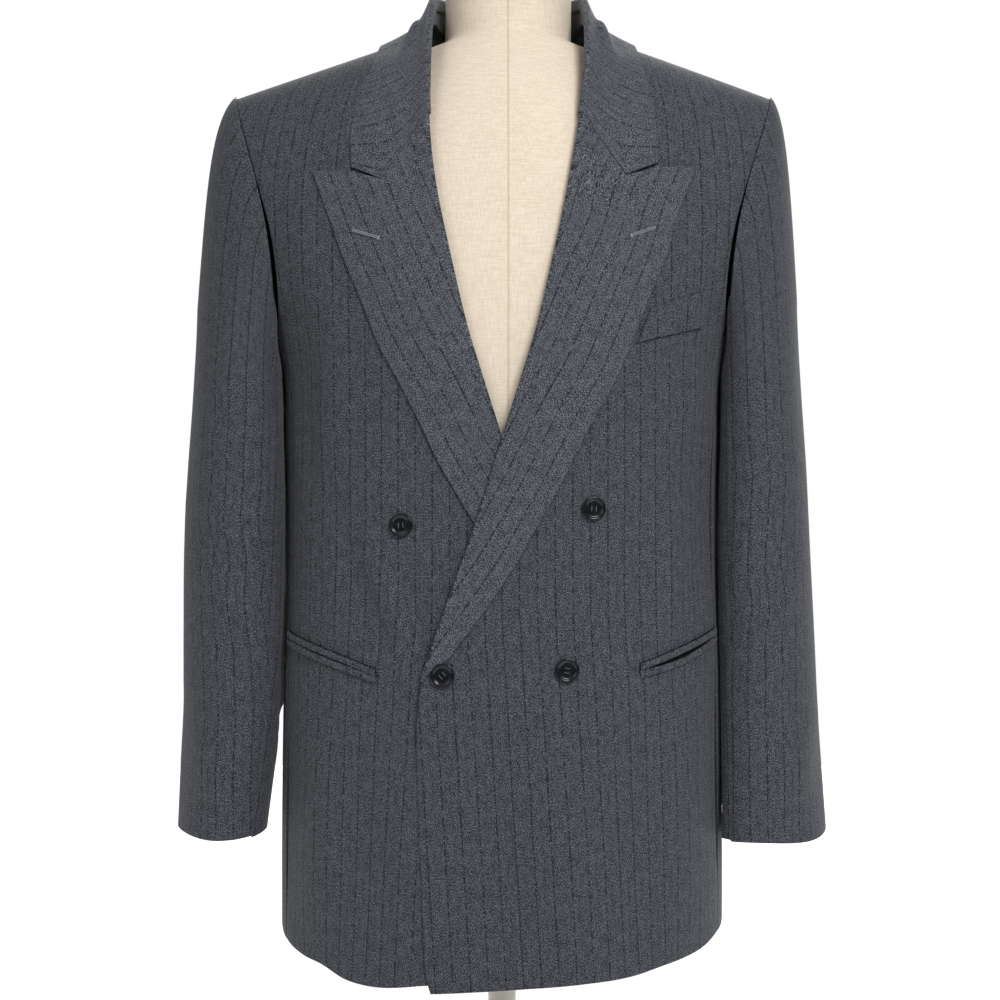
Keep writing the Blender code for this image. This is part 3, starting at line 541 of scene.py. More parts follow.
def worsted(name, mid=WORSTED_MID, light=WORSTED_LIGHT):
    made, tree, shader = new_material(name, 0.88, Sheen_Weight=0.12, Sheen_Roughness=0.45,
                                      Specular_IOR_Level=0.25)
    uv = node(tree, "UVMap", {"uv_map": "cloth"})
    across = node(tree, "SeparateXYZ", i0=uv)
    place = node(tree, "Mapping", i0=uv, Scale=(1 / FLECK, 1 / (FLECK * FLECK_LONG), 1))
    fine = node(tree, "TexNoise", FLAT_NOISE, Vector=place, Scale=1.0, Detail=2.0, Roughness=0.75)
    place = node(tree, "Mapping", i0=uv, Scale=(1 / CLOUD[0], 1 / CLOUD[1], 1))
    cloud = node(tree, "TexNoise", FLAT_NOISE, Vector=place, Scale=1.0, Detail=3.0, Roughness=0.6)
    mixed = node(tree, "Math", {"operation": "MULTIPLY_ADD"}, i0=cloud, i1=0.16, i2=fine)
    colour = node(tree, "ValToRGB", Fac=node(tree, "MapRange", SMOOTH, i0=mixed, i1=0.42, i2=0.75))
    ramp = colour.node.color_ramp
    ramp.elements[0].color = srgb(WORSTED_DARK)
    ramp.elements[1].color = srgb(light)
    ramp.elements.new(0.5).color = srgb(mid)
    place = node(tree, "Mapping", i0=uv, Scale=(60, 420, 1))
    broken = node(tree, "TexNoise", FLAT_NOISE, Vector=place, Scale=1.0, Detail=1.0)
    solid = node(tree, "MapRange", SMOOTH, i0=broken, i1=0.34, i2=0.6)
    for part, strength in STRIPES:
        away = across
        for operation, i1, i2 in (("ADD", STRIPE_GAP * (part + 0.5), 0), ("WRAP", STRIPE_GAP, 0),
                                  ("SUBTRACT", STRIPE_GAP / 2, 0), ("ABSOLUTE", 0, 0)):
            away = node(tree, "Math", {"operation": operation}, i0=away, i1=i1, i2=i2)
        line = node(tree, "MapRange", SMOOTH, i0=away, i1=1.9 * STRIPE_HALF, i2=0.6 * STRIPE_HALF)
        shown = node(tree, "Math", {"operation": "MULTIPLY"}, i0=line, i1=solid)
        amount = node(tree, "Math", {"operation": "MULTIPLY"}, i0=shown, i1=strength)
        colour = node(tree, "Mix", MIX, 2, i0=amount, i6=colour, i7=srgb(STRIPE_COLOUR))
    place = node(tree, "Mapping", i0=uv, Rotation=(0, 0, TWILL_ANGLE), Scale=(1 / RIB,) * 3)
    weave = node(tree, "TexWave", {"wave_type": "BANDS"}, 1, Vector=place, Scale=0.5, Distortion=1.5,
                 Detail=1.0, Detail_Scale=2.0)
    height = node(tree, "Math", {"operation": "MULTIPLY_ADD"}, i0=fine, i1=1.6, i2=weave)
    rough = node(tree, "MapRange", SMOOTH, i0=fine, i1=0.2, i2=0.8)
    rough = node(tree, "MapRange", i0=rough, i3=0.8, i4=0.95)
    finish(tree, shader, colour, height, 0.35, 0.4 * MM, rough)
    return made


WORSTED = worsted("worsted_wool_striped")
# The lapels and the collar take the same worsted in a lighter copy: painted light, for turned cloth that faces up
# towards the soft boxes.
LAPEL_WORSTED_PAINTED_LIGHTER = worsted("worsted_wool_facing", mid="#3f424a", light="#7c7f87")


# %% Lining, pocketing and melton
def lining():
    """Viscose twill: smooth filament yarn, so it shines along its fine diagonal ribs."""
    made, tree, shader = new_material("viscose_lining", 0.42, Specular_IOR_Level=0.5, Sheen_Weight=0.1)
    uv = node(tree, "UVMap", {"uv_map": "cloth"})
    place = node(tree, "Mapping", i0=uv, Rotation=(0, 0, math.radians(50)), Scale=(1 / (1.6 * MM),) * 3)
    ribs = node(tree, "TexWave", None, 1, Vector=place, Scale=0.5, Distortion=0.6)
    soft = node(tree, "TexNoise", Vector=uv, Scale=40.0, Detail=3.0)
    shade = node(tree, "MapRange", i0=soft, i1=0.3, i2=0.7)
    colour = node(tree, "Mix", MIX, 2, i0=shade, i6=srgb("#26282e"), i7=srgb("#33363d"))
    finish(tree, shader, colour, ribs, 0.2, 0.2 * MM)
    return made


def painted_pocket_shade():
    """Pocket bag cotton: a dull plain weave, painted nearly black as the shade inside the pocket's mouth."""
    made, tree, shader = new_material("pocketing_cotton", 0.95, Specular_IOR_Level=0.1)
    uv = node(tree, "UVMap", {"uv_map": "cloth"})
    # The near-black colours are painted shade, not the cotton's own colour.
    weave = node(tree, "TexNoise", Vector=uv, Scale=1800.0, Detail=2.0)
    colour = node(tree, "Mix", MIX, 2, i0=weave, i6=srgb("#08090b"), i7=srgb("#17181c"))
    finish(tree, shader, colour, weave, 0.3, 0.2 * MM)
    return made


def melton():
    """Undercollar felt: milled wool with no visible weave, only a soft matted nap."""
    made, tree, shader = new_material("melton_undercollar", 0.95, Sheen_Weight=0.2)
    uv = node(tree, "UVMap", {"uv_map": "cloth"})
    nap = node(tree, "TexNoise", Vector=uv, Scale=700.0, Detail=4.0, Roughness=0.7)
    colour = node(tree, "Mix", MIX, 2, i0=nap, i6=srgb("#2c2e34"), i7=srgb("#494c54"))
    finish(tree, shader, colour, nap, 0.4, 0.4 * MM)
    return made


# %% Thread and button
def twisted_thread(name, dark, light):
    """Silk buttonhole twist: two plies, seen as short slanting bands."""
    made, tree, shader = new_material(name, 0.55, Sheen_Weight=0.2)
    place = node(tree, "TexCoord", None, "Object")
    plies = node(tree, "TexWave", {"bands_direction": "DIAGONAL"}, 1, Vector=place, Scale=900.0,
                 Distortion=2.0)
    colour = node(tree, "Mix", MIX, 2, i0=plies, i6=srgb(dark), i7=srgb(light))
    finish(tree, shader, colour, plies, 0.5, 0.2 * MM)
    return made


def button_resin():
    """Cast polyester: nearly black, faintly clouded in the casting, then tumbled to a gloss."""
    made, tree, shader = new_material("cast_polyester_button", 0.16, Specular_IOR_Level=0.4,
                                      Coat_Weight=0.1, Coat_Roughness=0.12)
    place = node(tree, "TexCoord", None, "Object")
    cloud = node(tree, "TexNoise", Vector=place, Scale=160.0, Detail=3.0, Distortion=1.2)
    amount = node(tree, "MapRange", SMOOTH, i0=cloud, i1=0.35, i2=0.7)
    colour = node(tree, "Mix", MIX, 2, i0=amount, i6=srgb("#0d0f13"), i7=srgb("#1b1d24"))
    scuffs = node(tree, "TexNoise", Vector=place, Scale=900.0, Detail=2.0)
    rough = node(tree, "MapRange", i0=scuffs, i3=0.12, i4=0.24)
    tree.links.new(colour, shader.inputs["Base Color"])
    tree.links.new(rough, shader.inputs["Roughness"])
    return made


# %% Linen and powder coat
def linen_cover():
    """Plain woven linen over the form: an uneven natural yarn with slubs, seamed down the middle."""
    made, tree, shader = new_material("natural_linen", 0.9, Sheen_Weight=0.15, Specular_IOR_Level=0.25)
    place = node(tree, "TexCoord", None, "Object")
    warp, weft = (node(tree, "TexNoise", Scale=1.0, Detail=2.0,
                       Vector=node(tree, "Mapping", i0=place, Scale=scale))
                  for scale in ((900, 900, 90), (90, 90, 900)))
    yarn = node(tree, "Math", {"operation": "ADD"}, i0=warp, i1=weft)
    amount = node(tree, "MapRange", SMOOTH, i0=yarn, i1=0.75, i2=1.25)
    colour = node(tree, "Mix", MIX, 2, i0=amount, i6=srgb("#dfd0bb"), i7=srgb("#ecdeca"))
    middle = node(tree, "SeparateXYZ", i0=place)
    middle = node(tree, "Math", {"operation": "SUBTRACT"}, i0=middle, i1=NECK_LEAN * 0.9)
    away = node(tree, "Math", {"operation": "ABSOLUTE"}, i0=middle)
    seam = node(tree, "MapRange", SMOOTH, i0=away, i1=1.2 * MM, i2=0.4 * MM)
    faint = node(tree, "Math", {"operation": "MULTIPLY"}, i0=seam, i1=0.5)
    colour = node(tree, "Mix", MIX, 2, i0=faint, i6=colour, i7=srgb("#b9a688"))
    height = node(tree, "Math", {"operation": "SUBTRACT"}, i0=yarn, i1=seam)
    finish(tree, shader, colour, height, 0.35, 0.5 * MM)
    return made


def powder_coat():
    """Powder coated steel: a thick baked skin with the fine dimples called orange peel."""
    made, tree, shader = new_material("powder_coated_steel", 0.42, Coat_Weight=0.1)
    place = node(tree, "TexCoord", None, "Object")
    peel = node(tree, "TexNoise", Vector=place, Scale=450.0, Detail=2.0)
    soft = node(tree, "TexNoise", Vector=place, Scale=18.0, Detail=3.0)
    colour = node(tree, "Mix", MIX, 2, i0=soft, i6=srgb("#d2d1cc"), i7=srgb("#e2e1dd"))
    rough = node(tree, "MapRange", i0=peel, i3=0.36, i4=0.5)
    finish(tree, shader, colour, peel, 0.12, 0.3 * MM, rough)
    return made


LINING, MELTON, BUTTON, POCKET_BAG_PAINTED_SHADE = lining(), melton(), button_resin(), painted_pocket_shade()
PALE_THREAD = twisted_thread("silk_twist_grey", "#77797e", "#a9abad")
DARK_THREAD = twisted_thread("silk_twist_dark", "#3a3d45", "#6c7078")
LINEN, STEEL = linen_cover(), powder_coat()
print("materials:", len(bpy.data.materials))

# %% [markdown]
# ## One way to make a piece of cloth
# A cut piece is a sheet with a thickness and a rounded edge. It could be a plane with a Solidify, but then
# its edges are square. Here the outer and the inner face are both laid out from the same grid of points,
# and they draw together at the rim, over a few very narrow rows, so that the edge is round like turned
# cloth. The inner face is given the lining.

# %% The cloth maker
EDGES = {  # distance from the rim, share of the full thickness
    "free": ((0.0, 0.0), (0.0002, 0.58), (0.0006, 0.9), (0.0013, 1.0)),
    "seam": ((0.0, 0.0), (0.00022, 0.72), (0.00075, 1.0)),
    "none": ((0.0, 1.0),),
}


def stations(length, step, first="seam", last="seam", keep=()):
    """Shares from 0 to 1 along a piece, with narrow rows at its rims, and the thickness at each."""
    head = [(d / length, f) for d, f in EDGES[first]]
    tail = [(1 - d / length, f) for d, f in EDGES[last]][::-1]
    low, high = head[-1][0], tail[0][0]
    count = max(2, int(round((high - low) * length / step)))
    inner = [low + (high - low) * i / count for i in range(1, count)]
    for k in keep:
        inner[min(range(len(inner)), key=lambda i: abs(inner[i] - k))] = k
    rows = head + [(t, 1.0) for t in inner] + tail
    return np.array([r[0] for r in rows]), np.array([r[1] for r in rows])


SHEETS = {}


def cloth_piece(name, base, uv, row_full, column_full, outward, outer, inner, thick=CLOTH):
    """A closed sheet: base is its inner face, uv its place on the flat cloth, in metres."""
    rows, columns = base.shape[:2]
    normal = unit(np.cross(np.gradient(base, axis=1), np.gradient(base, axis=0)))
    turned = float(np.sum(normal * outward)) < 0
    if turned:
        normal = -normal
    full = (thick * row_full[:, None] * column_full[None, :])[..., None]
    middle = base + normal * thick / 2
    points = np.concatenate([lean(middle + normal * full / 2).reshape(-1, 3),
                             lean(middle - normal * full / 2).reshape(-1, 3)])
    index = np.arange(rows * columns).reshape(rows, columns)
    quads = np.stack([index[:-1, :-1], index[:-1, 1:], index[1:, 1:], index[1:, :-1]], axis=-1)
    quads = quads.reshape(-1, 4)
    if turned:
        quads = quads[:, ::-1]
    faces = np.concatenate([quads, quads[:, ::-1] + rows * columns])
    mesh = bpy.data.meshes.new(name)
    mesh.from_pydata(points.tolist(), [], faces.tolist())
    layer = mesh.uv_layers.new(name="cloth")
    corner = np.empty(len(mesh.loops), dtype=np.int64)
    mesh.loops.foreach_get("vertex_index", corner)
    flat = np.tile(uv.reshape(-1, 2), (2, 1))
    layer.data.foreach_set("uv", flat[corner].astype(np.float32).ravel())
    mesh.materials.append(outer)
    mesh.materials.append(inner)
    mesh.polygons.foreach_set("material_index", [0] * len(quads) + [1] * len(quads))
    shape = bmesh.new()
    shape.from_mesh(mesh)
    bmesh.ops.remove_doubles(shape, verts=shape.verts, dist=1e-6)
    shape.to_mesh(mesh)
    shape.free()
    mesh.shade_smooth()
    made = bpy.data.objects.new(name, mesh)
    bpy.context.scene.collection.objects.link(made)
    across = np.linalg.norm(np.diff(base, axis=1), axis=-1).sum(axis=1)
    along = np.linalg.norm(np.diff(base, axis=0), axis=-1).sum(axis=0)
    d1, d2 = base[1:, 1:] - base[:-1, :-1], base[1:, :-1] - base[:-1, 1:]
    area = 0.5 * float(np.linalg.norm(np.cross(d1, d2), axis=-1).sum())
    print("%-24s %.3f x %.3f m, %.4f m2" % (name, across.max(), along.max(), area))
    SHEETS[name] = made
    return made


def mirror(points, side):
    return points * np.array([side, 1.0, 1.0])

# %% [markdown]
# ## Fronts, backs and side panels
# The fronts are laid on the body from the hem to the shoulder. The inner edge is the front edge up to the
# fastened button and the roll line above it. The left one lies over the right one, so it is lifted by two
# thicknesses there. The stripe follows the girth of the body, and below the waist it spreads a little,
# because the skirt of the blazer flares.

# %% Body panels
STEP = 0.0042
FLARE = 0.06              # how much the stripe spreads, for each metre down the skirt
# rough metres across and down to the armpit line, which set how many columns and rows a piece gets
FRONT_WIDE, FRONT_LONG = 0.25, 0.52
BACK_WIDE, BACK_LONG = 0.22, 0.5
SIDE_WIDE, SIDE_LONG = 0.13, 0.51
ABOVE_ARMPIT = 0.3


def panel_rows(length_below):
    """Rows from the hem up: a share down to the hem, and a level above the armpit."""
    low, low_full = stations(length_below, STEP, "free", "none")
    high, high_full = stations(ABOVE_ARMPIT, STEP, "none", "seam")
    share = np.concatenate([1 - low, 0 * high[1:]])
    level = np.concatenate([0 * low + ARMPIT_Z, armhole_level(UPPER_ROWS * high[1:])])
    return share[:, None], level[:, None], np.concatenate([low_full, high_full[1:]])


def outer_edge(level):
    return np.where(level <= SEAM_LEVEL, seam_x(level), curve(ARMHOLE, level, 1))


def flared(u, z):
    return u - FLARE * np.maximum(0.0, 0.43 - z) * (1 - 0.7 * ease(u, 0.06, 0.18))


def front_panel(side, name):
    t, column_full = stations(FRONT_WIDE, STEP, "free", "seam")
    share, fixed, row_full = panel_rows(FRONT_LONG)
    edge_level = fixed - share * (ARMPIT_Z - hem_height(-0.06, side))
    inner = curve(FRONT_EDGE, height_of(NECK_X, edge_level), 1)
    outer = outer_edge(fixed - share * (ARMPIT_Z - SIDE_SEAM_HEM[side]))
    x = inner + (outer - inner) * (1 - (1 - t[None, :]) ** 1.15)
    level = fixed - share * (ARMPIT_Z - hem_height(x, side))
    z = height_of(x, level)
    lift = overlap_lift(x, z, side) + creases(x, z, "front", side)
    base = out_from_body(x, level, -1, lift)
    uv = np.stack([flared(girth(x, level, -1), z), z], axis=-1)
    return cloth_piece("front_panel_" + name, mirror(base, side), uv, row_full, column_full,
                       np.array([0, -1.0, 0]), WORSTED, LINING)


def back_panel(side, name):
    t, column_full = stations(BACK_WIDE, STEP, "seam", "seam", keep=(0.25, 0.275, 0.2917, 0.298, 0.3))
    share, fixed, row_full = panel_rows(BACK_LONG)
    outer = outer_edge(fixed - share * (ARMPIT_Z - BACK_HEM_Z))
    x = outer * t[None, :]
    level = fixed - share * (ARMPIT_Z - BACK_HEM_Z) + 0 * x
    z = height_of(x, level)
    base = on_body(x, level, 1)
    up, over = np.gradient(base, axis=0), np.gradient(base, axis=1)
    normal = unit(np.cross(up, over))
    base = base + normal * creases(x, z, "back", side)[..., None]
    uv = np.stack([girth(x, level, 1), z], axis=-1)
    return cloth_piece("back_panel_" + name, mirror(base, side), uv, row_full, column_full,
                       np.array([0, 1.0, 0]), WORSTED, LINING)


def side_panel(side, name):
    p, column_full = stations(SIDE_WIDE, STEP)
    low, low_full = stations(SIDE_LONG, STEP, "free", "none")
    high, high_full = stations(0.03, STEP, "none", "seam")
    angle = SEAM_ANGLE + (math.pi - 2 * SEAM_ANGLE) * p
    row = np.linspace(0.0, SEAM_ROW, 41)
    level = armhole_level(row)
    known = side_angle(level, curve(ARMHOLE, level, 1))
    top = np.interp(np.where(angle > math.pi / 2, math.pi - angle, angle), known[::-1], level[::-1])
    hem = SIDE_SEAM_HEM[side] + (BACK_HEM_Z - SIDE_SEAM_HEM[side]) * ease(angle, SEAM_ANGLE, math.pi / 2)
    below = ARMPIT_Z - (1 - low[:, None]) * (ARMPIT_Z - hem[None, :])
    above = ARMPIT_Z + high[1:, None] * (top[None, :] - ARMPIT_Z)
    level = np.concatenate([below, above])
    x = curve(BODY_RINGS, level, 1) * np.sin(angle)[None, :] ** (2 / curve(BODY_RINGS, level, 4))
    base = on_body(x, level, np.where(np.cos(angle) > 1e-9, -1, 1)[None, :] + 0 * level)
    around = np.linalg.norm(np.diff(base, axis=1), axis=-1)
    u = np.concatenate([np.zeros((len(level), 1)), np.cumsum(around, axis=1)], axis=1)
    uv = np.stack([u, base[..., 2]], axis=-1)
    return cloth_piece("side_panel_of_body_" + name, mirror(base, side), uv,
                       np.concatenate([low_full, high_full[1:]]), column_full,
                       np.array([side, 0, 0]), WORSTED, LINING)


for side, name in ((1, "left"), (-1, "right")):
    front_panel(side, name)
    back_panel(side, name)
    side_panel(side, name)

# %% [markdown]
# ## Lapels
# A lapel is the front folded back on its roll line. So its inner edge is a soft fold that comes round the
# edge of the front, and only its outer edge and its top are cut edges. At the fastened button it runs out
# to a narrow tail. Its stripe runs with its outer edge, as a cutter lays it.

# %% Lapels
# where the collar's seam leaves the roll line, the notch, the lapel's shoulder, the collar's corner
GORGE = {
    1: ((0.0645, 0.85), (0.1025, 0.795), (0.13, 0.804), (0.131, 0.808)),
    -1: ((0.0645, 0.85), (0.0995, 0.7915), (0.1275, 0.8005), (0.1265, 0.804)),
}
TIP = {1: (0.164, 0.806), -1: (0.1605, 0.8025)}
LAPEL_START_Z = 0.396
TAIL_Z = 0.377
LAPEL_BOW = 0.003
ROLL = 0.0005             # the inner radius of the fold
TIP_Z = LAPEL_EDGE[-1][0]


def lapel_lift(width, z, side):
    bow = LAPEL_BOW * np.sin(np.pi * np.clip(width, 0, 1)) * ease(z, 0.4, 0.5)
    if side < 0:
        bow = bow * ease(z, 0.56, 0.68)
    return CLOTH + LAYER + bow


def stripe_from_edge(x, z, side):
    """Distance from the lapel's outer edge, and length along it."""
    column = 1 if side > 0 else 2
    path_z = np.linspace(0.3, 0.95, 131)
    inside = np.clip(path_z, LAPEL_EDGE[0][0], TIP_Z)
    path_x = curve(LAPEL_EDGE, inside, column) + (path_z - inside) * np.where(path_z > TIP_Z, 0.4, 0.65)
    away = np.hypot(x[..., None] - path_x, z[..., None] - path_z)
    nearest = away.argmin(axis=-1)
    slope = np.gradient(path_x, path_z)[nearest]
    dx, dz = x - path_x[nearest], z - path_z[nearest]
    length = np.sqrt(1 + slope ** 2)
    return (dx - slope * dz) / length, path_z[nearest] * 1.1 + (dx * slope + dz) / length


def lapel(side, name):
    column = 1 if side > 0 else 2
    w, column_full = stations(0.105, 0.0036, "none", "free", keep=(0.5, 5 / 6))
    rise, row_full = stations(0.46, STEP, "none", "seam")
    tail = np.linspace(0.0, 1.0, 8)[:-1]
    inner_z = np.concatenate([TAIL_Z + (LAPEL_START_Z - TAIL_Z) * tail,
                              LAPEL_START_Z + (GORGE[side][0][1] - LAPEL_START_Z) * rise])
    outer_z = np.concatenate([TAIL_Z + (LAPEL_START_Z - TAIL_Z) * tail,
                              LAPEL_START_Z + (TIP_Z - LAPEL_START_Z) * rise])
    start_width = LAPEL_EDGE[0][1] - curve(FRONT_EDGE, LAPEL_START_Z, 1)
    inner_x = curve(FRONT_EDGE, inner_z, 1)
    outer_x = np.concatenate([inner_x[:7] + start_width * (0.03 + 0.97 * tail ** 1.6),
                              curve(LAPEL_EDGE, outer_z[7:], column)])
    inner = np.stack([inner_x, inner_z], axis=-1)[:, None, :]
    outer = np.stack([outer_x, outer_z], axis=-1)[:, None, :]
    corners = np.array(GORGE[side][:3] + (TIP[side],))
    knots = (0.0, 0.5, 5 / 6, 1.0)
    top = np.stack([np.interp(w, knots, corners[:, i]) for i in (0, 1)], axis=-1)
    chord = inner[-1, 0] + (outer[-1, 0] - inner[-1, 0]) * w[:, None]
    share = np.concatenate([0 * tail, rise])
    bend = ease(share, 0.45, 1.0)[:, None, None]
    flat = inner + (outer - inner) * w[None, :, None] + (top - chord)[None] * bend
    lift = lapel_lift(w[None, :], flat[..., 1], side)
    lift = lift * (1 - 0.25 * (1 - ease(np.concatenate([tail, 1 + rise]), 0, 1))[:, None])
    turn = np.pi * (1 - np.arange(7) / 7)
    curl_x = inner[:, :, 0] - ROLL * np.sin(turn)[None, :]
    curl_z = inner[:, :, 1] + 0 * curl_x
    curl_lift = CLOTH + LAYER / 2 + LAYER / 2 * np.cos(turn)[None, :] + 0 * curl_x
    x = np.concatenate([curl_x, flat[..., 0]], axis=1)
    z = np.concatenate([curl_z, flat[..., 1]], axis=1)
    base = lay(x, z, side, np.concatenate([curl_lift, lift], axis=1))
    u, v = stripe_from_edge(x, z, side)
    row_full = np.concatenate([[0.0, 0.7], np.ones(5), row_full])
    column_full = np.concatenate([[0.0, 0.8], np.ones(5), column_full])
    return cloth_piece("lapel_rolled_" + name, mirror(base, side), np.stack([u, v], axis=-1), row_full,
                       column_full, np.array([0, -1.0, 0]), LAPEL_WORSTED_PAINTED_LIGHTER, WORSTED)


for side, name in ((1, "left"), (-1, "right")):
    lapel(side, name)

# %% [markdown]
# ## Collar
# The collar is one strip round the neck. It stands up inside, folds over at the top and falls over the
# shoulders, down to the notch of each lapel. Its sections are set at stations from the front to the centre
# back, and a smooth curve runs through them. Inside the fold it goes on down a little, over the stand.

# %% Collar and stand
COLLAR_LIFT, COLLAR_SEAM, COLLAR_SEAM_REACH, COLLAR_SEAM_LIFT = 0.0055, 2.25, 1.5, 0.0035
COLLAR_HOLLOW = 0.007
COLLAR_EDGE_EASE = 0.58   # how much closer its edge lies
FOLD = 0.00135            # inner radius of the collar's fold
STATION_COUNT = 15


def clear_of_body(points, lift):
    """Move points of the collar out of the body, on their own side of the shoulder seam."""
    x, y, z = points[..., 0], points[..., 1], points[..., 2]
    facing = np.where(y < RIDGE_Y, -1, 1)
    top = shoulder_line(x)
    surface = out_from_body(x, level_of(x, np.minimum(z, top)), facing, lift + 0 * x)[..., 1]
    moved_y = np.where(facing < 0, np.minimum(y, surface), np.maximum(y, surface))
    near = z > top - 0.004
    new_y = np.where(near, y, moved_y)
    new_z = np.where(near & (np.abs(x) > NECK_X), np.maximum(z, top + lift), z)
    keep = (z > top + lift) | ((facing < 0) & (np.abs(x) < NECK_X - 0.008))
    return np.where(keep[..., None], points, np.stack([x, new_y, new_z], axis=-1))


def through(values, knots, at):
    """A smooth curve through rows of points, read at many places."""
    slopes = np.gradient(values, knots, axis=0)
    i = np.clip(np.searchsorted(knots, at, side="right") - 1, 0, len(knots) - 2)
    span = (knots[i + 1] - knots[i])
    t = (at - knots[i]) / span
    shape = (-1,) + (1,) * (values.ndim - 1)
    span, t = span.reshape(shape), t.reshape(shape)
    return ((1 + 2 * t) * (1 - t) ** 2 * values[i] + t * (1 - t) ** 2 * span * slopes[i]
            + t * t * (3 - 2 * t) * values[i + 1] + t * t * (t - 1) * span * slopes[i + 1])


def collar_sections(side, w):
    """Sections of the fall on one side, from the seam with the lapel to the centre back."""
    corners = np.array(GORGE[side][:2] + (GORGE[side][3],))
    flat = np.stack([np.interp(w, (0.0, 0.5, 1.0), corners[:, i]) for i in (0, 1)], axis=-1)
    first = lay(flat[:, 0], flat[:, 1], side, lapel_lift(w, flat[:, 1], 1))
    sections = [first]
    coarse = np.linspace(0.0, 1.0, 6)[:, None]
    for s in np.linspace(0.0, 7.0, STATION_COUNT):
        fold = np.array([float(curve(COLLAR_STATIONS, s, c)) for c in (1, 2, 3)])
        edge = np.array([float(curve(COLLAR_STATIONS, s, c)) for c in (4, 5, 6)])
        out = unit(np.array([edge[0] - fold[0], edge[1] - fold[1], 0.0]))
        hollow = COLLAR_HOLLOW * np.sin(np.pi * coarse)
        points = fold + (edge - fold) * coarse - out * hollow * 0.7 - np.array([0, 0, 1.0]) * hollow
        lift = COLLAR_LIFT + COLLAR_SEAM_LIFT * max(0.0, 1 - abs(s - COLLAR_SEAM) / COLLAR_SEAM_REACH)
        points = clear_of_body(points, lift * (1 - COLLAR_EDGE_EASE * ease(coarse[:, 0], 0.55, 1.0)))
        sections.append(through(points, coarse[:, 0], w))
    return [mirror(p, side) for p in sections]


def collar():
    w, w_full = stations(0.075, 0.0034, "none", "free", keep=(0.5,))
    w, w_full = w[1:], w_full[1:]
    w_all = np.concatenate([[0.0], w])
    left, right = collar_sections(1, w_all), collar_sections(-1, w_all)
    coarse = np.array(left + right[-2::-1])
    gap = np.linalg.norm(np.diff(coarse[:, 4], axis=0), axis=-1)
    knots = np.concatenate([[0.0], np.cumsum(gap)])
    share, row_full = stations(knots[-1], 0.0036, "seam", "seam")
    grid = through(coarse, knots, share * knots[-1])
    place = np.interp(share * knots[-1], knots, np.arange(len(knots)))
    from_front = np.minimum(place, len(knots) - 1 - place) / 2
    fold, fall = grid[:, 0], grid[:, 1:]
    along = unit(np.gradient(fold, axis=0))
    down = grid[:, 3] - fold
    down = unit(down - along * np.sum(down * along, axis=1, keepdims=True))
    outside = unit(np.cross(along, down))
    centre = np.array([0.0, RIDGE_Y, 0.9])
    outside *= np.where(np.sum(outside * (fold - centre), axis=1, keepdims=True) < 0, -1.0, 1.0)
    back = ease(from_front, 1.0, 3.0)[:, None]
    inside_way = unit(down * (1 - back) + np.array([0, 0, -1.0]) * back)
    depth = 0.002 + 0.008 * back
    curl = [fold - outside * 2 * FOLD + inside_way * depth * d for d in (1.0, 0.93, 0.6, 0.25)]
    for turn in np.linspace(math.pi, 0.0, 9):
        curl.append(fold + outside * (FOLD * math.cos(turn) - FOLD) - down * FOLD * math.sin(turn))
    base = np.concatenate([np.stack(curl, axis=1), fall], axis=1)
    across = np.concatenate([np.zeros((len(base), 1)),
                             np.cumsum(np.linalg.norm(np.diff(base, axis=1), axis=-1), axis=1)], axis=1)
    length = np.concatenate([[0.0], np.cumsum(np.linalg.norm(np.diff(grid[:, 4], axis=0), axis=-1))])
    uv = np.stack([length[:, None] + 0 * across, across], axis=-1)
    column_full = np.concatenate([[0.0, 0.8], np.ones(len(curl) - 2), w_full])
    outward = np.repeat(outside[:, None], base.shape[1], axis=1)
    outward[:, :len(curl)] = 0
    return cloth_piece("collar_fall", base, uv, row_full, column_full, outward, LAPEL_WORSTED_PAINTED_LIGHTER, MELTON)


def collar_stand():
    s = np.linspace(2.0, 7.0, 41)
    fold = np.stack([curve(COLLAR_STATIONS, s, c) for c in (1, 2, 3)], axis=-1)
    height = curve(COLLAR_STATIONS, s, 7)[:, None]
    inward = unit(np.stack([-fold[:, 0], RIDGE_Y - fold[:, 1], 0 * s], axis=-1))
    top = fold + inward * 0.0024 - np.array([0, 0, 0.001])
    foot = top - np.array([0, 0, 1.0]) * height + inward * 0.0018
    share, column_full = stations(0.034, 0.0035)
    half = foot[:, None] + (top - foot)[:, None] * share[None, :, None]
    base = np.concatenate([half, mirror(half, -1)[-2::-1]])
    length = np.concatenate([[0.0], np.cumsum(np.linalg.norm(np.diff(base[:, -1], axis=0), axis=-1))])
    uv = np.stack([length[:, None] + 0 * base[..., 0], base[..., 2]], axis=-1)
    row_full = np.ones(len(base))
    row_full[[0, -1]] = 0.0
    outward = base - np.array([0.0, RIDGE_Y, 0.0])
    outward[..., 2] = 0
    return cloth_piece("collar_stand_inside", base, uv, row_full, column_full, outward, MELTON, WORSTED)


collar()
collar_stand()

# %% [markdown]
# ## Sleeves
# A tailored sleeve is two pieces: a wide upper one and a narrow under one. Its rings start at the armhole
# seam, and it turns forward towards the cuff. The crook of the elbow is where a sleeve creases, so a few
# slanting troughs and ridges lie there, and they are not the same on the two arms.

# %% Sleeves
SLEEVE_TOE = 0.012
SLEEVE_CLEARANCE = 0.0046
CUFF_RISE = {1: 0.002, -1: 0.006}
TUCKED_FROM = {1: (0.2, 0.245), -1: (0.3, 0.34)}   # above this its back lies close to the body
HEAD_SHARE = 0.375        # share of a sleeve's rows that lie in its head
UNDER_SLEEVE = (7.0, 15.0)
RING_STEPS = 2 * UPPER_ROWS
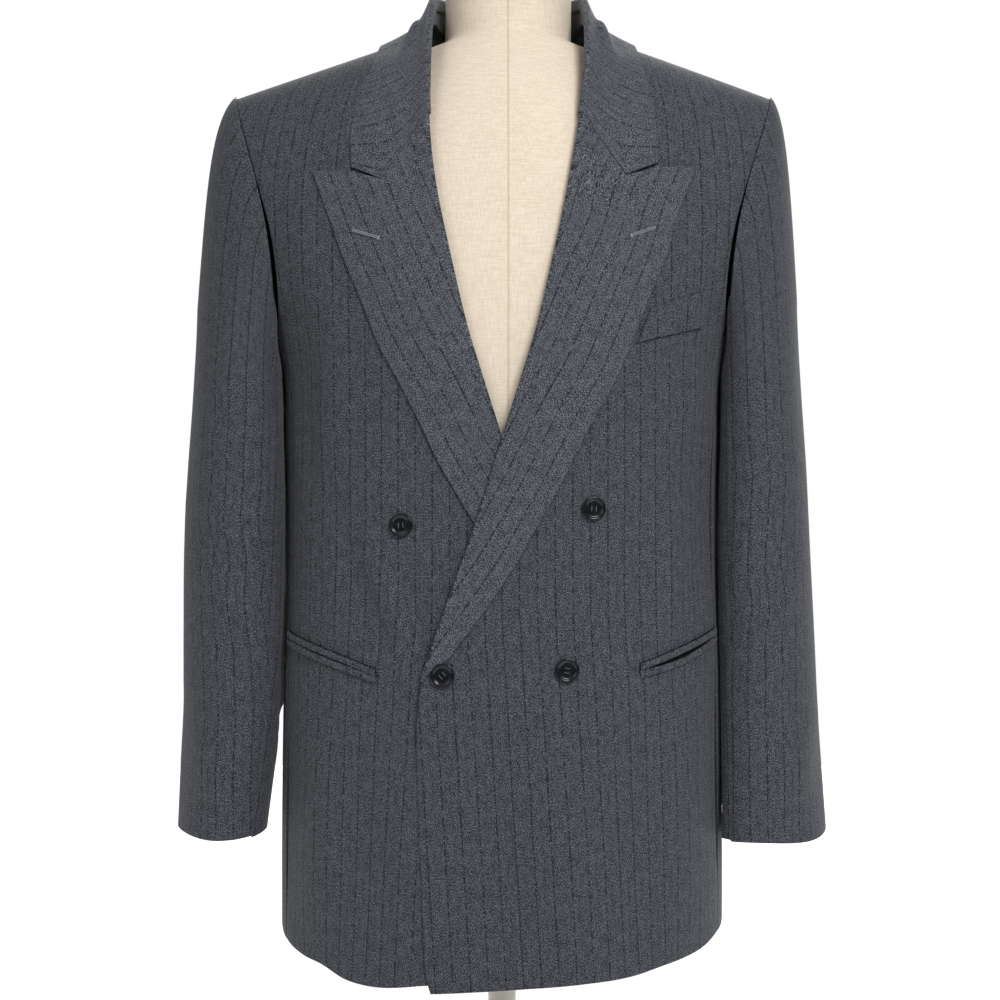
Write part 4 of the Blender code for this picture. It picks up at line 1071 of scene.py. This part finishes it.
# round the arm in ring steps and height where it starts, the same where it ends, width, how high
SLEEVE_CREASES = {
    1: ((3.0, 0.5, 6.2, 0.43, 0.012, -0.0026), (2.6, 0.455, 6.6, 0.4, 0.011, 0.0022),
        (4.0, 0.42, 7.6, 0.37, 0.012, -0.0022), (1.5, 0.56, 5.0, 0.53, 0.013, 0.0014),
        (5.5, 0.64, 6.5, 0.52, 0.014, -0.0016), (2.5, 0.34, 4.0, 0.25, 0.015, 0.0016),
        (17.0, 0.52, 13.0, 0.45, 0.013, -0.0022), (17.5, 0.45, 13.5, 0.4, 0.013, 0.002),
        (0.5, 0.7, 1.5, 0.56, 0.016, -0.0012), (9.0, 0.48, 12.5, 0.42, 0.011, -0.002),
        (1.0, 0.33, 1.6, 0.235, 0.014, -0.0015), (18.5, 0.69, 17.8, 0.56, 0.016, 0.0014)),
    -1: ((2.6, 0.53, 6.0, 0.48, 0.012, 0.0022), (2.8, 0.5, 6.4, 0.44, 0.011, -0.0026),
         (3.6, 0.465, 7.0, 0.39, 0.012, 0.0024), (4.2, 0.41, 7.4, 0.345, 0.012, -0.0026),
         (1.6, 0.62, 5.0, 0.58, 0.014, -0.0012), (5.0, 0.65, 6.4, 0.54, 0.013, 0.0014),
         (3.0, 0.33, 5.4, 0.25, 0.014, 0.0018), (16.5, 0.54, 13.0, 0.47, 0.013, -0.0022),
         (17.2, 0.47, 13.4, 0.41, 0.013, 0.0022), (0.4, 0.69, 1.2, 0.52, 0.016, -0.0013),
         (9.2, 0.5, 12.4, 0.43, 0.011, -0.002), (1.2, 0.36, 1.8, 0.24, 0.015, -0.0014)),
}
RING_METRES = 0.0125      # length round the arm of one ring step
SEAM_TURNING = 0.03       # in ring steps, so that no daylight shows through the seam
SLEEVE_CREASE_DEPTH = 1.35


def signed_power(value, power):
    return np.sign(value) * np.abs(value) ** power


def side_reach(y, z):
    level = np.minimum(z, ARMPIT_Z)
    depth = np.where(y < RIDGE_Y, curve(BODY_RINGS, level, 2), curve(BODY_RINGS, level, 3))
    power = curve(BODY_RINGS, level, 4)
    inside = np.minimum(1.0, np.abs(y - RIDGE_Y) / depth) ** power
    return curve(BODY_RINGS, level, 1) * np.maximum(0.0, 1 - inside) ** (1 / power)


def armhole_ring(j):
    row = np.abs(UPPER_ROWS - j)
    level = armhole_level(row)
    turned_under = (1 - np.cos(np.pi * j / UPPER_ROWS)) / 2
    lift = CLOTH * (1 + turned_under) + SEAM_GAP
    return out_from_body(curve(ARMHOLE, level, 1), level, np.where(j <= UPPER_ROWS, -1, 1), lift)


def sleeve_ring(j, z, side):
    levels = [(-row[0],) + row[1:] for row in SLEEVE_RINGS]
    columns = (2, 4, 5, 6) if side > 0 else (1, 3, 5, 6)
    inner, outer, front, back = (curve(levels, -z, c) for c in columns)
    reach = np.sqrt(np.maximum(((outer - inner) / 2) ** 2 - SLEEVE_TOE ** 2, 1e-6))
    angle = np.pi * j / UPPER_ROWS
    against_body = ((j > UPPER_ROWS) & (j < 1.5 * UPPER_ROWS)) * ease(z, 0.3, 0.42)
    across = signed_power(np.cos(angle), 0.9 - 0.4 * against_body)
    along = signed_power(np.sin(angle), 0.9)
    x = (outer + inner) / 2 + reach * across - SLEEVE_TOE * along
    y = (back - front) / 2 - (back + front) / 2 * along
    clear = side_reach(y, z) + 2 * CLOTH + SLEEVE_CLEARANCE
    tucked = ease(j, 10.0, 11.6) * (1 - ease(j, 13.6, 15.5)) * ease(z, *TUCKED_FROM[side])
    x = x + (np.minimum(x, clear + 0.0004) - x) * tucked
    rise = CUFF_RISE[side] * (1 - ease(z, SLEEVE_RINGS[-1][0], 0.34)) * ease(-y, -0.03, 0.09)
    return np.stack([np.maximum(x, clear), y, z + rise + 0 * x], axis=-1)


def sleeve_points(j, rows, side):
    """Points of the sleeve's inner face: rows run from 0 at the armhole to 1 at the cuff."""
    start = armhole_ring(j)
    top_z, cuff_z = SLEEVE_RINGS[0][0], SLEEVE_RINGS[-1][0]
    biceps = sleeve_ring(j, top_z, side)
    grid = []
    for row in rows:
        if row < HEAD_SHARE:
            t = row / HEAD_SHARE
            out = 0.42 * (1 - (1 - t) ** 6) + 0.58 * t
            inward = np.where(biceps[:, 0] < start[:, 0], ease(t, 0.3, 1.0), out)
            share = np.stack([inward, 0 * inward + out, 0 * inward + t ** 1.25], axis=-1)
            grid.append(start + (biceps - start) * share)
        else:
            t = (row - HEAD_SHARE) / (1 - HEAD_SHARE)
            grid.append(sleeve_ring(j, top_z + (cuff_z - top_z) * t, side))
    return np.array(grid)


def sleeve_piece(side, name, part, first, last):
    columns, column_full = stations((last - first) * RING_METRES, 0.0042)
    rows, row_full = stations(0.62, 0.0044, "seam", "free")
    j = first - SEAM_TURNING + (last - first + 2 * SEAM_TURNING) * columns
    grid = sleeve_points(np.mod(j, RING_STEPS), rows, side)
    around, along = np.gradient(grid, axis=1), np.gradient(grid, axis=0)
    normal = unit(np.cross(around, along))
    centre = sleeve_points(np.arange(20.0), rows, side).mean(axis=1)[:, None, :]
    if np.sum(normal * (grid - centre)) < 0:
        normal = -normal
    round_arm = np.where(j > 16.9, j - RING_STEPS, j) if part == "upper" else j
    lift = np.zeros(grid.shape[:2])
    for j0, z0, j1, z1, width, height in SLEEVE_CREASES[side]:
        for shift in (0, -RING_STEPS):
            line = ((j0 + shift) * RING_METRES, z0, (j1 + shift) * RING_METRES, z1, width, height)
            lift += SLEEVE_CREASE_DEPTH * crease(round_arm[None, :] * RING_METRES, grid[..., 2], line)
    grid = grid + normal * lift[..., None]
    wave = 0.0012 * np.sin(np.pi * j[None, :] / 3.1 + side) * ease(rows, 0.9, 1.0)[:, None]
    grid[..., 2] += wave
    steps = np.linalg.norm(np.diff(grid, axis=1), axis=-1)
    u = np.concatenate([np.zeros((len(rows), 1)), np.cumsum(steps, axis=1)], axis=1)
    middle = int(np.abs(j - (RING_STEPS if part == "upper" else 11.0)).argmin())
    u -= u[:, middle:middle + 1]
    biceps_row = int(np.abs(rows - HEAD_SHARE).argmin())
    u[:biceps_row] = u[biceps_row]
    fall = np.linalg.norm(np.diff(grid[:, middle], axis=0), axis=-1)
    v = np.concatenate([[0.0], np.cumsum(fall)])[:, None] + 0 * u
    return cloth_piece("sleeve_%s_%s_cloth" % (part, name), mirror(grid, side), np.stack([u, v], axis=-1),
                       row_full, column_full, mirror(grid - centre, side), WORSTED, LINING)


for side, name in ((1, "left"), (-1, "right")):
    first, last = UNDER_SLEEVE
    sleeve_piece(side, name, "under", first, last)
    sleeve_piece(side, name, "upper", last, first + RING_STEPS)

# %% [markdown]
# ## Breast welt and hip pockets
# A welt is a band sewn over the pocket's mouth along its lower edge and its ends. A jetted pocket is a cut
# edged with two narrow rolls of cloth. Between them a strip of pocket bag is painted near black as the shade
# in the mouth, most of all on the wearer's left, where the mouth hangs a little open, and it reaches a little
# above the upper jet as a painted shadow line.

# %% Welt, jets and pocket bags in painted shade
WELT_LOWER = ((0.1105, 0.6565), (0.169, 0.6715))
WELT_UPPER = ((0.1225, 0.685), (0.1725, 0.7025))
POCKET_MOUTH = {"right": ((0.1037, 0.3795), (0.144, 0.391), (0.183, 0.403)),
                "left": ((0.112, 0.3838), (0.148, 0.391), (0.183, 0.4055))}
JET_HEIGHT = 0.0048
MOUTH_GAPE = {"right": 0.0014, "left": 0.0038}
BAND_GAP = 0.0011


def along_path(path, t):
    points = np.array(path)
    knots = np.linspace(0.0, 1.0, len(points))
    return np.stack([through(points, knots, t)[:, i] for i in (0, 1)], axis=-1)


def band(name, lower, upper, side, lift, ends, edge_first, edge_last, thick=CLOTH, swell=0.0, outer=WORSTED):
    t, column_full = stations(0.065, 0.0024, ends, ends)
    height = float(np.linalg.norm(np.array(upper[0]) - np.array(lower[0])))
    s, row_full = stations(height, 0.0016, edge_first, edge_last)
    low, high = along_path(lower, t), along_path(upper, t)
    flat = low[None] + (high - low)[None] * s[:, None, None]
    bulge = lift + swell * np.sin(np.pi * s)[:, None]
    base = lay(flat[..., 0], flat[..., 1], side, bulge)
    u = girth(flat[..., 0], level_of(flat[..., 0], flat[..., 1]), -1)
    uv = np.stack([flared(u, flat[..., 1]), flat[..., 1]], axis=-1)
    return cloth_piece(name, mirror(base, side), uv, row_full, column_full, np.array([0, -1.0, 0]),
                       outer, LINING, thick)


band("welt_of_breast_pocket", WELT_LOWER, WELT_UPPER, 1, CLOTH + BAND_GAP, "seam", "seam", "free",
     swell=0.0008)
for side, name in ((1, "left"), (-1, "right")):
    mouth = np.array(POCKET_MOUTH[name])
    gape = np.array([[0, 0], [0, MOUTH_GAPE[name]], [0, 0.25 * MOUTH_GAPE[name]]])
    up = np.array([0, 1.0])
    band("jet_upper_" + name, mouth + up * 0.0004 + gape, mouth + up * (0.0004 + JET_HEIGHT) + gape, side,
         CLOTH + BAND_GAP, "free", "free", "seam", swell=0.0007)
    band("jet_lower_" + name, mouth - up * (0.0004 + JET_HEIGHT), mouth - up * 0.0004, side,
         CLOTH + BAND_GAP, "free", "seam", "free", swell=0.0007)
    # The pocket bag strip is painted near black: painted shade in the mouth, and a painted shadow line above the upper
    # jet.
    band("pocket_bag_" + name, mouth - up * 0.002, mouth + up * (JET_HEIGHT + 0.0012) + gape, side,
         CLOTH + 0.0001, "seam", "seam", "seam", thick=0.0005, outer=POCKET_BAG_PAINTED_SHADE)

# %% [markdown]
# ## Buttons
# A four hole button is turned: a disc with a raised rim round a shallow dish. As by hand, a cylinder is
# added, its top is inset for the rim and pushed down for the dish, and the edges are bevelled. The four
# holes are drilled by cutters, and two strands of thread run through them. It is modelled once and copied.

# %% Helpers for modelling by hand
def deselect_all():
    if bpy.context.object and bpy.context.object.mode != "OBJECT":
        bpy.ops.object.mode_set(mode="OBJECT")
    bpy.ops.object.select_all(action="DESELECT")


def select_faces(made, wanted):
    """In edit mode, select just the faces that wanted(face) picks."""
    bpy.ops.mesh.select_mode(type="FACE")
    bpy.ops.mesh.select_all(action="DESELECT")
    shape = bmesh.from_edit_mesh(made.data)
    for face in shape.faces:
        face.select = bool(wanted(face))
    bmesh.update_edit_mesh(made.data)


def apply_modifier(made, kind, **settings):
    modifier = made.modifiers.new(kind.lower(), kind)
    for key, value in settings.items():
        setattr(modifier, key, value)
    deselect_all()
    made.select_set(True)
    bpy.context.view_layer.objects.active = made
    bpy.ops.object.modifier_apply(modifier=modifier.name)


def settle(made, matrix=None):
    """Put the object's place into its mesh."""
    made.data.transform((matrix or Matrix.Identity(4)) @ made.matrix_world)
    made.matrix_world = Matrix.Identity(4)


# %% One button
BUTTON_RADIUS, BUTTON_THICK = 0.01, 0.0034
RIM_WIDTH, DISH = 0.0022, 0.0011
HOLE_RADIUS, HOLE_OUT = 0.00085, 0.0027
deselect_all()
bpy.ops.mesh.primitive_cylinder_add(vertices=64, radius=BUTTON_RADIUS, depth=BUTTON_THICK,
                                    location=(0, 0, BUTTON_THICK / 2))
pattern_button = bpy.context.object
bpy.ops.object.mode_set(mode="EDIT")
select_faces(pattern_button, lambda f: f.normal.z > 0.9)
bpy.ops.mesh.inset(thickness=RIM_WIDTH, depth=0)
bpy.ops.mesh.inset(thickness=0.0009, depth=-DISH)
bpy.ops.mesh.inset(thickness=0.0024, depth=-0.00015)
bpy.ops.object.mode_set(mode="OBJECT")
apply_modifier(pattern_button, "BEVEL", width=0.001, segments=4, limit_method="ANGLE", angle_limit=0.5)
for i in range(4):
    angle = math.pi / 4 + i * math.pi / 2
    deselect_all()
    bpy.ops.mesh.primitive_cylinder_add(
        vertices=20, radius=HOLE_RADIUS, depth=6 * BUTTON_THICK,
        location=(HOLE_OUT * math.cos(angle), HOLE_OUT * math.sin(angle), 0))
    drill = bpy.context.object
    apply_modifier(pattern_button, "BOOLEAN", operation="DIFFERENCE", solver="EXACT", object=drill)
    bpy.data.objects.remove(drill)
deselect_all()
pattern_button.select_set(True)
bpy.context.view_layer.objects.active = pattern_button
bpy.ops.object.shade_smooth_by_angle(angle=math.radians(40))
settle(pattern_button)
pattern_button.data.materials.clear()
pattern_button.data.materials.append(BUTTON)
print("button:", len(pattern_button.data.polygons), "faces")

# %% One pair of threads
deselect_all()
strands = []
for x in (-1, 1):
    bpy.ops.mesh.primitive_cylinder_add(vertices=10, radius=0.00034, depth=2 * HOLE_OUT * 0.71 + 0.0008,
                                        location=(x * HOLE_OUT * 0.71, 0, BUTTON_THICK - DISH + 0.0002),
                                        rotation=(math.pi / 2, 0, 0))
    strands.append(bpy.context.object)
    bpy.ops.object.mode_set(mode="EDIT")
    bpy.ops.mesh.subdivide(number_cuts=4)
    shape = bmesh.from_edit_mesh(strands[-1].data)
    for vert in shape.verts:
        end = abs(vert.co.z) / (HOLE_OUT * 0.71 + 0.0004)
        vert.co.y += 0.0004 * (1 - end ** 2)
    bmesh.update_edit_mesh(strands[-1].data)
    bpy.ops.object.mode_set(mode="OBJECT")
    deselect_all()
for strand in strands:
    settle(strand)
    strand.select_set(True)
bpy.context.view_layer.objects.active = strands[0]
bpy.ops.object.join()
pattern_thread = strands[0]
bpy.ops.object.shade_smooth()
pattern_thread.data.materials.clear()
pattern_thread.data.materials.append(DARK_THREAD)

# %% Set the buttons on the fronts
# name, across, height, layer it rests on, how far it is turned
BUTTONS = (
    ("button_upper_right", -0.083, 0.5045, -1, 0.1), ("button_upper_left", 0.074, 0.5185, 1, -0.05),
    ("button_lower_left", 0.0525, 0.386, 1, 1.45), ("button_fastened", -0.048, 0.382, 1, 0.75),
)


def front_place(x, z, side, lift):
    """A matrix that stands on the front there, with its Z axis outwards."""
    spot = lay(np.array([abs(x) if side < 0 else x]), np.array([z]), side, lift)[0]
    far = lay(np.array([abs(x) if side < 0 else x]), np.array([z]), side, lift + 0.01)[0]
    spot, far = lean(mirror(spot, side)), lean(mirror(far, side))
    turn = Vector(far - spot).normalized().to_track_quat("Z", "Y").to_matrix().to_4x4()
    return Matrix.Translation(Vector(spot)) @ turn


BUTTON_PIECES = []
for name, x, z, side, turn in BUTTONS:
    place = front_place(x, z, side, CLOTH + SEAM_GAP) @ Matrix.Rotation(turn, 4, "Z")
    pair = []
    for pattern, word in ((pattern_button, "_resin"), (pattern_thread, "_thread")):
        copy = bpy.data.objects.new(name + word, pattern.data.copy())
        bpy.context.scene.collection.objects.link(copy)
        copy.data.transform(place)
        pair.append(copy)
    BUTTON_PIECES.append((name, pair[0], pair[1]))
bpy.data.objects.remove(pattern_button)
bpy.data.objects.remove(pattern_thread)
print("buttons:", [row[0] for row in BUTTON_PIECES])

# %% [markdown]
# ## Buttonholes
# A worked buttonhole is a slit with its edge wrapped in silk twist, stitch beside stitch, and a bar across
# one end. Each stitch is a small rounded loop, and they go all round the slit.

# %% Buttonholes
STITCH, STITCH_HIGH = 0.00036, 0.00042


def buttonhole(name, start, end, side, lift, material, width=0.0011):
    """Stitches round a slit that runs from start to end on the front, both (across, height)."""
    start, end = np.array(start), np.array(end)
    length = float(np.linalg.norm(end - start))
    way = (end - start) / length
    beside = np.array([-way[1], way[0]])
    count = int(length / 0.00075)
    shape = bmesh.new()
    spots = []
    for i in range(count + 1):
        for row in (-1, 1):
            spot = start + way * length * i / count + beside * row * width * 0.62
            spots.append((spot, width * 0.55, STITCH))
    for i in range(7):
        spots.append((end + beside * width * (i / 3 - 1) * 1.25, STITCH, 2.5 * STITCH))
    tilt = math.atan2(way[1], way[0] * side)
    for spot, half_across, half_along in spots:
        place = front_place(spot[0], spot[1], side, lift)
        size = Matrix.Diagonal((half_along, half_across, STITCH_HIGH, 1.0))
        bmesh.ops.create_uvsphere(shape, u_segments=8, v_segments=6, radius=1.0,
                                  matrix=place @ Matrix.Rotation(tilt, 4, "Z") @ size)
    mesh = bpy.data.meshes.new(name)
    shape.to_mesh(mesh)
    shape.free()
    mesh.shade_smooth()
    mesh.materials.append(material)
    made = bpy.data.objects.new(name, mesh)
    bpy.context.scene.collection.objects.link(made)
    return made


def lapel_top(side, z=0.745):
    """How high the lapel's outer face lies above the front, at the height of its buttonhole."""
    return float(lapel_lift(0.62, z, side)) + CLOTH


HOLES = (
    buttonhole("buttonhole_lapel_right", (0.1225, 0.749), (0.101, 0.742), -1, lapel_top(-1), PALE_THREAD),
    buttonhole("buttonhole_lapel_left", (0.126, 0.7515), (0.106, 0.744), 1, lapel_top(1), PALE_THREAD),
    buttonhole("buttonhole_of_front", (-0.052, 0.3815), (-0.0365, 0.3835), 1, CLOTH + 0.0001, DARK_THREAD),
)
print("buttonholes:", len(HOLES))

# %% [markdown]
# ## Dress form and stand
# The form is covered in linen. Its shape is right already, so a copy of it is merged, its triangles are
# joined into four-sided faces and it is smoothed by a subdivision surface, with its rims kept firm. The
# stand is a turned foot, and a pole that is turned down to a thinner end where it enters the foot.

# %% Form
deselect_all()
form = bpy.data.objects.new("form_covered_in_linen", frame["nodes"]["form_torso"].data.copy())
bpy.context.scene.collection.objects.link(form)
form.select_set(True)
bpy.context.view_layer.objects.active = form
bpy.ops.object.mode_set(mode="EDIT")
bpy.ops.mesh.select_all(action="SELECT")
bpy.ops.mesh.remove_doubles(threshold=0.00005)
bpy.ops.mesh.tris_convert_to_quads(face_threshold=math.radians(30), shape_threshold=math.radians(60))
bpy.ops.mesh.normals_make_consistent(inside=False)
bpy.ops.object.mode_set(mode="OBJECT")
shape = bmesh.new()
shape.from_mesh(form.data)
firm = shape.edges.layers.float.get("crease_edge") or shape.edges.layers.float.new("crease_edge")
for edge in shape.edges:
    if len(edge.link_faces) == 2 and edge.calc_face_angle(0.0) > math.radians(55):
        edge[firm] = 0.85
shape.to_mesh(form.data)
shape.free()
apply_modifier(form, "SUBSURF", levels=2, render_levels=2)
form.data.shade_smooth()
form.data.materials.clear()
form.data.materials.append(LINEN)
print("form:", len(form.data.polygons), "faces")

# %% Foot and pole
BASE_RADIUS, BASE_THICK, POLE_RADIUS = 0.176, 0.012, 0.0125
FORM_BOTTOM_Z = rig.box("form_torso")[0][2]
deselect_all()
bpy.ops.mesh.primitive_cylinder_add(vertices=128, radius=BASE_RADIUS, depth=BASE_THICK,
                                    location=(0, 0, BASE_THICK / 2))
foot = bpy.context.object
foot.name = "stand_foot_of_steel"
bpy.ops.object.mode_set(mode="EDIT")
select_faces(foot, lambda f: f.normal.z > 0.9)
bpy.ops.mesh.inset(thickness=0.02, depth=0)
bpy.ops.mesh.inset(thickness=0.11, depth=0)
bpy.ops.mesh.inset(thickness=0.02, depth=0)
bpy.ops.object.mode_set(mode="OBJECT")
apply_modifier(foot, "BEVEL", width=0.0038, segments=5, limit_method="ANGLE", angle_limit=0.5)
deselect_all()
TURNED_HIGH = 0.018       # how far up the pole its thinner end goes
pole_bottom = BASE_THICK + SEAM_GAP
pole_top = FORM_BOTTOM_Z - SEAM_GAP
bpy.ops.mesh.primitive_cylinder_add(vertices=64, radius=POLE_RADIUS, depth=pole_top - pole_bottom,
                                    location=(0, 0, (pole_top + pole_bottom) / 2))
pole = bpy.context.object
pole.name = "stand_pole_of_steel"
bpy.ops.object.mode_set(mode="EDIT")
bpy.ops.mesh.select_all(action="SELECT")
bpy.ops.mesh.bisect(plane_co=(0, 0, pole_bottom + TURNED_HIGH), plane_no=(0, 0, 1))
select_faces(pole, lambda f: abs(f.normal.z) < 0.1 and f.calc_center_median().z < pole_bottom + TURNED_HIGH
             - (pole_top + pole_bottom) / 2)
bpy.ops.mesh.extrude_region_shrink_fatten(TRANSFORM_OT_shrink_fatten={"value": -0.006})
bpy.ops.object.mode_set(mode="OBJECT")
apply_modifier(pole, "BEVEL", width=0.0015, segments=3, limit_method="ANGLE", angle_limit=0.5)
for made in (foot, pole):
    settle(made)
    made.data.materials.clear()
    made.data.materials.append(STEEL)
    deselect_all()
    made.select_set(True)
    bpy.context.view_layer.objects.active = made
    bpy.ops.object.shade_smooth_by_angle(angle=math.radians(35))
print("stand:", [round(c, 4) for c in pole.dimensions], [round(c, 4) for c in foot.dimensions])

# %% [markdown]
# ## What each piece stands for
# Every piece rides on the one body of the part. A cloth piece replaces its solid and is declared as a
# sheet, with the width and length that it was cut to and its area.

# %% Sheets
# piece, solid, how it is held, what it rests on, what goes with it, width, length and area left and right
PAIRED_SHEETS = (
    ("front_panel_%s", "front_%s", "draped", "form_torso", ("jet_upper_%s", "jet_lower_%s", "pocket_bag_%s"),
     (0.283, 0.89, 0.1833), (0.283, 0.882, 0.1828)),
    ("back_panel_%s", "back_%s", "draped", "form_torso", (),
     (0.28, 0.846, 0.1721), (0.28, 0.846, 0.1721)),
    ("side_panel_of_body_%s", "side_panel_%s", "draped", "form_torso", (),
     (0.126, 0.527, 0.0586), (0.127, 0.534, 0.0588)),
    ("lapel_rolled_%s", "lapel_%s", "folded", "front_panel_%s", ("buttonhole_lapel_%s",),
     (0.137, 0.496, 0.03), (0.136, 0.496, 0.0275)),
    ("sleeve_under_%s_cloth", "sleeve_under_%s", "hung", "front_panel_%s", (),
     (0.27, 0.556, 0.0764), (0.27, 0.557, 0.0772)),
    ("sleeve_upper_%s_cloth", "sleeve_upper_%s", "hung", "front_panel_%s", (),
     (0.383, 0.659, 0.1371), (0.383, 0.66, 0.1391)),
)
SINGLE_SHEETS = (
    ("collar_fall", "collar", "folded", "form_torso", (), (0.107, 0.692, 0.0474)),
    ("collar_stand_inside", "collar_stand", "draped", "form_torso", (), (0.036, 0.328, 0.0081)),
    ("welt_of_breast_pocket", "breast_welt", "laid", "front_panel_left", (), (0.069, 0.032, 0.0017)),
)


def ride_and_replace(made, slot, *solids):
    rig.ride(made, "root")
    if solids:
        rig.replaces(made, *solids)
    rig.slot(made, slot)


def declare(name, piece, solid, held, rests_on, goes_with, size):
    """Declare one sheet; where a name has %s in it, the side's name goes there."""
    piece, solid, rests_on = (word.replace("%s", name) for word in (piece, solid, rests_on))
    others = [bpy.data.objects[word.replace("%s", name)] for word in goes_with]
    ride_and_replace(SHEETS[piece], "worsted", solid)
    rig.sheet(SHEETS[piece], flat=size[:2], held=held, area=size[2], rests_on=[rests_on], with_pieces=others)


for which, name in enumerate(("left", "right")):
    for row in PAIRED_SHEETS:
        declare(name, *row[:5], row[5 + which])
for row in SINGLE_SHEETS:
    declare("", *row)
for name in ("left", "right"):
    ride_and_replace(SHEETS["jet_upper_" + name], "worsted", "pocket_jet_upper_" + name)
    ride_and_replace(SHEETS["jet_lower_" + name], "worsted", "pocket_jet_lower_" + name)
    ride_and_replace(SHEETS["pocket_bag_" + name], "worsted")
for hole in HOLES:
    ride_and_replace(hole, "worsted")
for name, resin, thread in BUTTON_PIECES:
    ride_and_replace(resin, "button", name)
    ride_and_replace(thread, "button")
ride_and_replace(form, "linen", "form_torso")
ride_and_replace(foot, "stand", "stand_base")
ride_and_replace(pole, "stand", "stand_pole")
print("pieces:", len(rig.table()))

# %% [markdown]
# ## Floor, light and camera
# The blazer is shown as in a plain studio: a white floor and a white wall behind it, a soft box in front on
# the wearer's left, a weaker one on the other side, and one behind that lights the floor. The surround in
# front is dim, so that the soft boxes model the cloth. The camera stands level with the chest, 1.35 m away.

# %% Floor
FLOOR_SIZE = 2.6
deselect_all()
bpy.ops.mesh.primitive_plane_add(size=FLOOR_SIZE, location=(0, 0, 0))
floor = bpy.context.object
floor.name = "floor"
floor_paint, tree, shader = new_material("white_studio_floor", 0.9, Specular_IOR_Level=0.0)
grain = node(tree, "TexNoise", Vector=node(tree, "TexCoord", None, "Object"), Scale=3.0)
tone = node(tree, "Mix", MIX, 2, i0=grain, i6=srgb("#f2f2f2"), i7=srgb("#f6f6f6"))
tree.links.new(tone, shader.inputs["Base Color"])
floor.data.materials.append(floor_paint)
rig.stage(floor)

# %% Surround and soft boxes
SURROUND_LOW, SURROUND_HIGH = 0.1, 0.45      # in front at the horizon, and overhead
world = bpy.context.scene.world or bpy.data.worlds.new("studio")
bpy.context.scene.world = world
world.use_nodes = True
sky = world.node_tree
background = sky.nodes["Background"]
direction = node(sky, "TexCoord", None, "Generated")
behind = node(sky, "SeparateXYZ", None, 1, i0=direction)
upwards = node(sky, "SeparateXYZ", None, 2, i0=direction)
wall = node(sky, "MapRange", SMOOTH, i0=behind, i1=0.35, i2=0.7)
overhead = node(sky, "MapRange", SMOOTH, i0=upwards, i1=0.0, i2=0.9, i3=SURROUND_LOW, i4=SURROUND_HIGH)
light_at = node(sky, "Math", {"operation": "MAXIMUM"}, i0=wall, i1=overhead)
sky.links.new(light_at, background.inputs[1])
background.inputs[0].default_value = (1.0, 1.0, 1.0, 1.0)
# name, place, where it points, size, watts
SOFT_BOXES = (
    ("key", (0.72, -1.7, 1.6), (0.0, 0.0, 0.8), 0.9, 29.0),
    ("fill", (-1.5, -1.9, 1.5), (0.0, 0.0, 0.7), 1.2, 9.0),
    ("back", (0.3, 2.0, 2.0), (0.0, 0.5, 0.0), 1.8, 85.0),
)
for name, place, target, size, watts in SOFT_BOXES:
    light = bpy.data.lights.new("soft_box_" + name, "AREA")
    light.size = size
    light.energy = watts
    lamp = bpy.data.objects.new("soft_box_" + name, light)
    bpy.context.scene.collection.objects.link(lamp)
    way = Vector(target) - Vector(place)
    lamp.matrix_world = Matrix.Translation(place) @ way.to_track_quat("-Z", "Y").to_matrix().to_4x4()
bpy.context.scene.view_settings.view_transform = "Standard"
bpy.context.scene.view_settings.look = "None"

# %% Camera
CAMERA_AWAY, CAMERA_HEIGHT = 1.35, 0.571
camera = bpy.data.objects.new("camera", bpy.data.cameras.new("camera"))
bpy.context.scene.collection.objects.link(camera)
level = Matrix.Rotation(math.pi / 2, 4, "X")
camera.matrix_world = Matrix.Translation((0, -CAMERA_AWAY, CAMERA_HEIGHT)) @ level
camera.data.sensor_width = 36.0
camera.data.lens = 53.46
camera.data.shift_x = -0.002
camera.data.shift_y = -0.055
camera.data.clip_end = 100.0
bpy.context.scene.camera = camera

# %% Sizes
visual_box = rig.bounds()
with open("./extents.json", "w") as sizes:
    json.dump({"cad": [list(map(float, c)) for c in cad_box],
               "visual": [list(map(float, c)) for c in visual_box]}, sizes)
print("visual model:", [[round(float(n), 3) for n in c] for c in visual_box])
